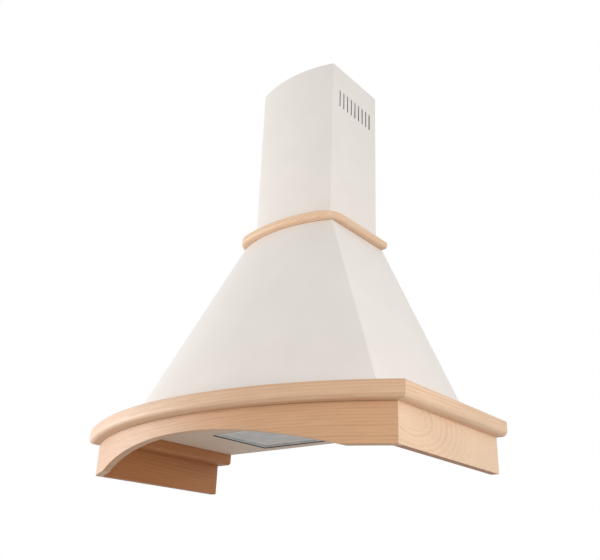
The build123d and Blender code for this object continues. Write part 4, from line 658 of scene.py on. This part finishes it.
class HOOD_OT_enamelled_sheets(bpy.types.Operator):
    """Gives the canopy, the chimney and the tray their cream enamel"""

    bl_idname = "hood.enamelled_sheets"
    bl_label = "Enamelled Sheets"
    bl_options = {"REGISTER", "UNDO"}

    def execute(self, context):
        """Painted shade darkens some sheets' joints, and the chimney sections are primed inside in a
        near-black that is partly painted shade.
        """
        enamel = context.scene.range_hood.enamel
        sheets = {
            "canopy_shell": (enamel.cream, None, None),
            "chimney_lower": (enamel.cream, enamel.seam, enamel.primer_and_shade),
            "chimney_upper": (enamel.cream, None, enamel.primer_and_shade),
            # The tray's tint is painted shade and warm bounce on the cream enamel.
            "underside_tray": (enamel.tray, enamel.seam, None),
        }
        for name, (tint, seam, primer_and_shade) in sheets.items():
            finish = skin("enamel_" + name, tint, enamel.roughness, enamel.peel_size, enamel.peel_depth,
                          ENAMEL_EDGE, seam, primer_and_shade)
            dress(tune(finish, {"Specular IOR Level": 0.2}), name)
        return {"FINISHED"}


class HOOD_OT_bare_metal(bpy.types.Operator):
    """Gives the back, the brackets, the motor's metal and the fasteners their finish"""

    bl_idname = "hood.bare_metal"
    bl_label = "Bare Metal"
    bl_options = {"REGISTER", "UNDO"}

    def execute(self, context):
        """Galvanised sheet, screw steel, brass and iron."""
        metals = context.scene.range_hood.metals
        dress(metal("galvanised_sheet", metals.zinc, roughness=0.42, edge=SHEET_EDGE),
              "back_panel", "chimney_bracket", "blower_cradle", "motor_bracket", "motor_cup",
              "filter_pivot_clips", "lamp_can_left", "lamp_can_right")
        dress(metal("screw_steel", metals.screw, roughness=0.30, edge=SCREW_EDGE),
              "body_rivets", "bracket_screws", "chimney_foot_screws", "cradle_screws", "scroll_screws",
              "motor_screws", "wood_screws", "damper_pins", "motor_shaft")
        dress(metal("bush_brass", metals.brass, roughness=0.32, edge=SCREW_EDGE), "motor_bushes")
        dress(metal("core_iron", metals.iron, roughness=0.50, edge=CORE_EDGE, depth=3 * ROLLING_DEPTH),
              "motor_stator", "motor_rotor")
        return {"FINISHED"}


class HOOD_OT_grease_filter(bpy.types.Operator):
    """Makes the filter's expanded metal and its seal, and finishes its frame and latch"""

    bl_idname = "hood.grease_filter"
    bl_label = "Grease Filter"
    bl_options = {"REGISTER", "UNDO"}

    def execute(self, context):
        """The pack swings with the filter, and the seal stays on the tray."""
        settings = context.scene.range_hood
        plastics = settings.plastics
        grain = plastics.grain_depth
        aluminium = metal("filter_aluminium", settings.metals.aluminium, roughness=0.45, edge=FILTER_EDGE)
        dress(aluminium, "filter_frame", "filter_mesh")
        dress(skin("latch_plastic", plastics.latch, roughness=0.45, ripple=0.0009, depth=grain),
              "filter_latch", "filter_latch_case")
        pack = self.pack(settings.grease_filter)
        pack.data.materials.append(aluminium)
        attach(pack, "grease_filter")
        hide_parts("filter_mesh")
        seal = self.seal(settings.grease_filter)
        seal.data.materials.append(skin("seal_rubber", plastics.rubber, roughness=0.60, ripple=0.0008,
                                        depth=grain, edge=RIM_EDGE))
        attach(seal, "hood")
        return {"FINISHED"}

    def pack(self, sizes):
        """Expanded metal below a pleated sheet, both cut away round the latch."""
        low, high = corners_of("filter_mesh")
        case_low, case_high = corners_of("filter_latch_case")
        shape = bmesh.new()
        self.diamonds(shape, sizes, low, high, case_low, case_high)
        self.pleats(shape, sizes, low, high, case_low, case_high)
        return solid_sheet("filter_pack", shape, sizes.sheet)

    def diamonds(self, shape, sizes, low, high, case_low, case_high):
        """Net of diamonds whose strands are turned out of the sheet."""
        half_length, half_width = sizes.mesh_length / 2, sizes.mesh_width / 2
        level = low.z + sizes.twist + sizes.sheet
        columns = int((high.x - low.x) / half_length)
        rows = int((high.y - low.y) / half_width)
        left = (low.x + high.x - columns * half_length) / 2
        front = (low.y + high.y - rows * half_width) / 2
        case_middle = (case_low.x + case_high.x) / 2
        case_reach = (case_high.x - case_low.x) / 2 + half_length
        for column in range(1, columns):
            for row in range(1 + column % 2, rows, 2):
                x, y = left + column * half_length, front + row * half_width
                if abs(x - case_middle) > case_reach or y > case_high.y + half_width:
                    self.diamond(shape, sizes, x, y, level)
        bmesh.ops.remove_doubles(shape, verts=shape.verts, dist=sizes.mesh_width * WELD_SHARE)

    def diamond(self, shape, sizes, x, y, level):
        """Four strands round one opening."""
        corners = ((1, 0), (0, 1), (-1, 0), (0, -1))
        reach_x, reach_y = sizes.mesh_length / 2, sizes.mesh_width / 2
        outer = [shape.verts.new((x + i * reach_x, y + j * reach_y, level)) for i, j in corners]
        inner = [shape.verts.new((x + i * reach_x * sizes.opening, y + j * reach_y * sizes.opening,
                                  level + j * sizes.twist)) for i, j in corners]
        for one in range(len(corners)):
            two = (one + 1) % len(corners)
            shape.faces.new((outer[one], outer[two], inner[two], inner[one]))

    def pleats(self, shape, sizes, low, high, case_low, case_high):
        """Sheet folded to and fro behind the net; its middle span starts behind the latch."""
        top = high.z - sizes.sheet
        folds = int((high.y - low.y) / sizes.pleat)
        stops = (low.x, case_low.x - sizes.pleat, case_high.x + sizes.pleat, high.x)
        pitch = (high.y - low.y) / folds
        lines = [
            [shape.verts.new((x, low.y + fold * pitch, top - fold % 2 * sizes.pleat_depth)) for x in stops]
            for fold in range(folds + 1)
        ]
        for fold, (line, following) in enumerate(zip(lines, lines[1:])):
            clear = low.y + fold * pitch > case_high.y
            for span in range(len(stops) - 1):
                if span != 1 or clear:
                    shape.faces.new((line[span], line[span + 1], following[span + 1], following[span]))
        loose = [point for point in shape.verts if not point.link_faces]
        bmesh.ops.delete(shape, geom=loose, context="VERTS")

    def seal(self, sizes):
        """Rubber bead under the tray, along the filter's sides and rear."""
        low, high = corners_of("filter_frame")
        mesh_low, mesh_high = corners_of("filter_mesh")
        wall = mesh_low.y - low.y - sizes.seal_gap
        left, right = mesh_low.x - wall, mesh_high.x + wall
        half = sizes.seal_width / 2
        shape = bmesh.new()
        rings = []
        for x, y, aside, back in ((left, low.y, -1, 0), (left, high.y, -1, 1), (right, high.y, 1, 1),
                                  (right, low.y, 1, 0)):
            ring = []
            for across, drop in SEAL_SECTION:
                away = half + sizes.seal_gap + across * half
                level = low.z + drop * sizes.seal_drop
                ring.append(shape.verts.new((x + aside * away, y + back * away, level)))
            rings.append(ring)
        for ring, following in zip(rings, rings[1:]):
            for one in range(len(ring)):
                two = (one + 1) % len(ring)
                shape.faces.new((ring[one], ring[two], following[two], following[one]))
        shape.faces.new(rings[0])
        shape.faces.new(rings[-1])
        bmesh.ops.recalc_face_normals(shape, faces=shape.faces)
        return linked("filter_seal", shape)


class HOOD_OT_lamps(bpy.types.Operator):
    """Gives the lamps their chrome, glass and light source"""

    bl_idname = "hood.lamps"
    bl_label = "Lamps"
    bl_options = {"REGISTER", "UNDO"}

    def execute(self, context):
        """The glass is frosted, and the light source behind it is unlit."""
        chrome = context.scene.range_hood.metals.chrome
        lamps = context.scene.range_hood.lamps
        dress(metal("lamp_chrome", chrome, roughness=0.14, edge=RIM_EDGE, depth=0.4 * ROLLING_DEPTH),
              "lamp_bezel_left", "lamp_bezel_right")
        glass = skin("lamp_glass", lamps.glass, roughness=0.30, ripple=0.0030, depth=0.00015, edge=RIM_EDGE)
        dress(tune(glass, {"Transmission Weight": 0.85, "IOR": 1.5}), "lamp_lens_left", "lamp_lens_right")
        dress(skin("lamp_phosphor", lamps.phosphor, roughness=0.6, ripple=0.0025, depth=0.0001,
                   edge=CORE_EDGE),
              "lamp_leds")
        return {"FINISHED"}


class HOOD_OT_switch(bpy.types.Operator):
    """Gives the switch's trim plate and its buttons their plastic"""

    bl_idname = "hood.switch"
    bl_label = "Switch"
    bl_options = {"REGISTER", "UNDO"}

    def execute(self, context):
        """The buttons are paler and smoother than the plate."""
        plastics = context.scene.range_hood.plastics
        grain = plastics.grain_depth
        dress(skin("switch_plastic", plastics.switch, roughness=0.36, ripple=0.0012, depth=grain),
              "switch_trim_plate")
        dress(skin("button_plastic", plastics.button, roughness=0.30, ripple=0.0012, depth=grain),
              "button_light", "button_off", "button_low", "button_medium", "button_high")
        return {"FINISHED"}


class HOOD_OT_works(bpy.types.Operator):
    """Gives the blower, the outlet and the wiring their plastics and rubber"""

    bl_idname = "hood.works"
    bl_label = "Works"
    bl_options = {"REGISTER", "UNDO"}

    def execute(self, context):
        """Black plastic, black rubber and the capacitor's pale can."""
        plastics = context.scene.range_hood.plastics
        grain = plastics.grain_depth
        dress(skin("black_plastic", plastics.black, roughness=0.45, ripple=0.0010, depth=grain),
              "scroll_shell_left", "scroll_shell_right", "impeller", "outlet_spigot", "damper_flap_left",
              "damper_flap_right", "switch_box", "terminal_box", "terminal_box_lid", "cable_gland")
        dress(skin("black_rubber", plastics.rubber, roughness=0.62, ripple=0.0007, depth=grain),
              "motor_grommets", "wiring_loom")
        dress(skin("capacitor_plastic", plastics.capacitor, roughness=0.40, ripple=0.0015, depth=grain),
              "capacitor")
        return {"FINISHED"}


class HOOD_OT_stage(bpy.types.Operator):
    """Sets up the camera, the studio light and the floor"""

    bl_idname = "hood.stage"
    bl_label = "Stage"
    bl_options = {"REGISTER", "UNDO"}

    def execute(self, context):
        """The key light may be mirrored in the hood, and the fill light not."""
        scene = context.scene
        stage = scene.range_hood.stage
        scene.view_settings.view_transform = "Standard"
        self.camera(scene, stage)
        self.sky(scene, stage)
        self.floor(scene, stage)
        self.light(scene, "key_light", stage.key, stage.beam, KEY_PLACE, KEY_SIZE, mirrored=True)
        self.light(scene, "fill_light", stage.fill, stage.beam, FILL_PLACE, FILL_SIZE, mirrored=False)
        return {"FINISHED"}

    def camera(self, scene, stage):
        """The photograph's viewing angle."""
        camera = bpy.data.objects.new("camera", bpy.data.cameras.new("camera"))
        scene.collection.objects.link(camera)
        camera.data.sensor_fit = "HORIZONTAL"
        camera.data.lens = stage.lens
        camera.data.clip_end = 100.0
        level = math.cos(stage.pitch)
        ahead = Vector((math.sin(stage.yaw) * level, math.cos(stage.yaw) * level, math.sin(stage.pitch)))
        right = Vector((math.cos(stage.yaw), -math.sin(stage.yaw), 0.0))
        up = right.cross(ahead)
        tilted_right = math.cos(stage.roll) * right + math.sin(stage.roll) * up
        tilted_up = math.cos(stage.roll) * up - math.sin(stage.roll) * right
        turn = Matrix((tilted_right, tilted_up, -ahead)).transposed().to_4x4()
        camera.matrix_world = Matrix.Translation(stage.place) @ turn
        scene.camera = camera

    def sky(self, scene, stage):
        """Soft light from all round, which the camera, metal and glass see as white."""
        world = bpy.data.worlds.new("studio")
        world.use_nodes = True
        tree = world.node_tree
        tree.nodes.clear()
        rays = put(tree, "ShaderNodeLightPath").outputs
        looked = maths(tree, "MAXIMUM", rays["Is Camera Ray"], rays["Is Glossy Ray"])
        seen = maths(tree, "MAXIMUM", looked, rays["Is Transmission Ray"])
        strength = spread(tree, seen, 0.0, 1.0, stage.sky, 1.0)
        light = put(tree, "ShaderNodeBackground", {"Color": (1.0, 1.0, 1.0, 1.0), "Strength": strength})
        put(tree, "ShaderNodeOutputWorld", {"Surface": light.outputs[0]})
        scene.world = world

    def floor(self, scene, stage):
        """A plain pale floor, which isn't seen from below."""
        half = stage.floor_size / 2
        corners = [(x * half, y * half, -stage.floor_drop) for x, y in ((-1, -1), (1, -1), (1, 1), (-1, 1))]
        mesh = bpy.data.meshes.new("floor")
        mesh.from_pydata(corners, [], [(0, 1, 2, 3)])
        floor = bpy.data.objects.new("floor", mesh)
        scene.collection.objects.link(floor)
        material, tree, shader, place = start_finish("pale_floor")
        look = group(tree, sprayed_skin, {
            "Vector": place, "Tint": opaque(stage.floor), "Roughness": 0.7, "Ripple Size": 0.004})
        tree.links.new(look["Color"], shader.inputs["Base Color"])
        tree.links.new(look["Roughness"], shader.inputs["Roughness"])
        back = put(tree, "ShaderNodeNewGeometry").outputs["Backfacing"]
        clear = put(tree, "ShaderNodeBsdfTransparent")
        sides = put(tree, "ShaderNodeMixShader", {0: back, 1: shader.outputs[0], 2: clear.outputs[0]})
        tree.links.new(sides.outputs[0], node_of(tree, "OUTPUT_MATERIAL").inputs["Surface"])
        mesh.materials.append(material)

    def light(self, scene, name, strength, beam, place, size, mirrored):
        """A large soft light that faces the hood, and may be mirrored in it."""
        lamp = bpy.data.lights.new(name, "AREA")
        lamp.energy = strength
        lamp.size = size
        lamp.spread = beam
        holder = bpy.data.objects.new(name, lamp)
        holder.visible_glossy = mirrored
        holder.location = place
        holder.rotation_euler = (Vector(LIT_POINT) - Vector(place)).to_track_quat("-Z", "Y").to_euler()
        scene.collection.objects.link(holder)


OPERATORS = (HOOD_OT_wooden_frame, HOOD_OT_enamelled_sheets, HOOD_OT_bare_metal, HOOD_OT_grease_filter,
             HOOD_OT_lamps, HOOD_OT_switch, HOOD_OT_works, HOOD_OT_stage)


class HOOD_PT_sidebar(bpy.types.Panel):
    """The hood's operators in the sidebar"""

    bl_idname = "HOOD_PT_sidebar"
    bl_label = "Range Hood"
    bl_space_type = "VIEW_3D"
    bl_region_type = "UI"
    bl_category = "Range Hood"

    def draw(self, context):
        """One button for each operator."""
        for operator in OPERATORS:
            self.layout.operator(operator.bl_idname)


CLASSES = (HoodTimber, HoodEnamel, HoodMetals, HoodFilter, HoodPlastics, HoodLamps, HoodStage, HoodSettings,
           *OPERATORS, HOOD_PT_sidebar)


def register():
    """Makes the classes and the settings known."""
    for part in CLASSES:
        bpy.utils.register_class(part)
    bpy.types.Scene.range_hood = PointerProperty(
        name="Range Hood", description="All settings of the range hood", type=HoodSettings)


def unregister():
    """Takes them away again."""
    del bpy.types.Scene.range_hood
    for part in reversed(CLASSES):
        bpy.utils.unregister_class(part)


def main():
    """Makes every piece and the stage."""
    register()
    for operator in OPERATORS:
        area, name = operator.bl_idname.split(".")
        getattr(getattr(bpy.ops, area), name)()


if __name__ == "__main__":
    main()
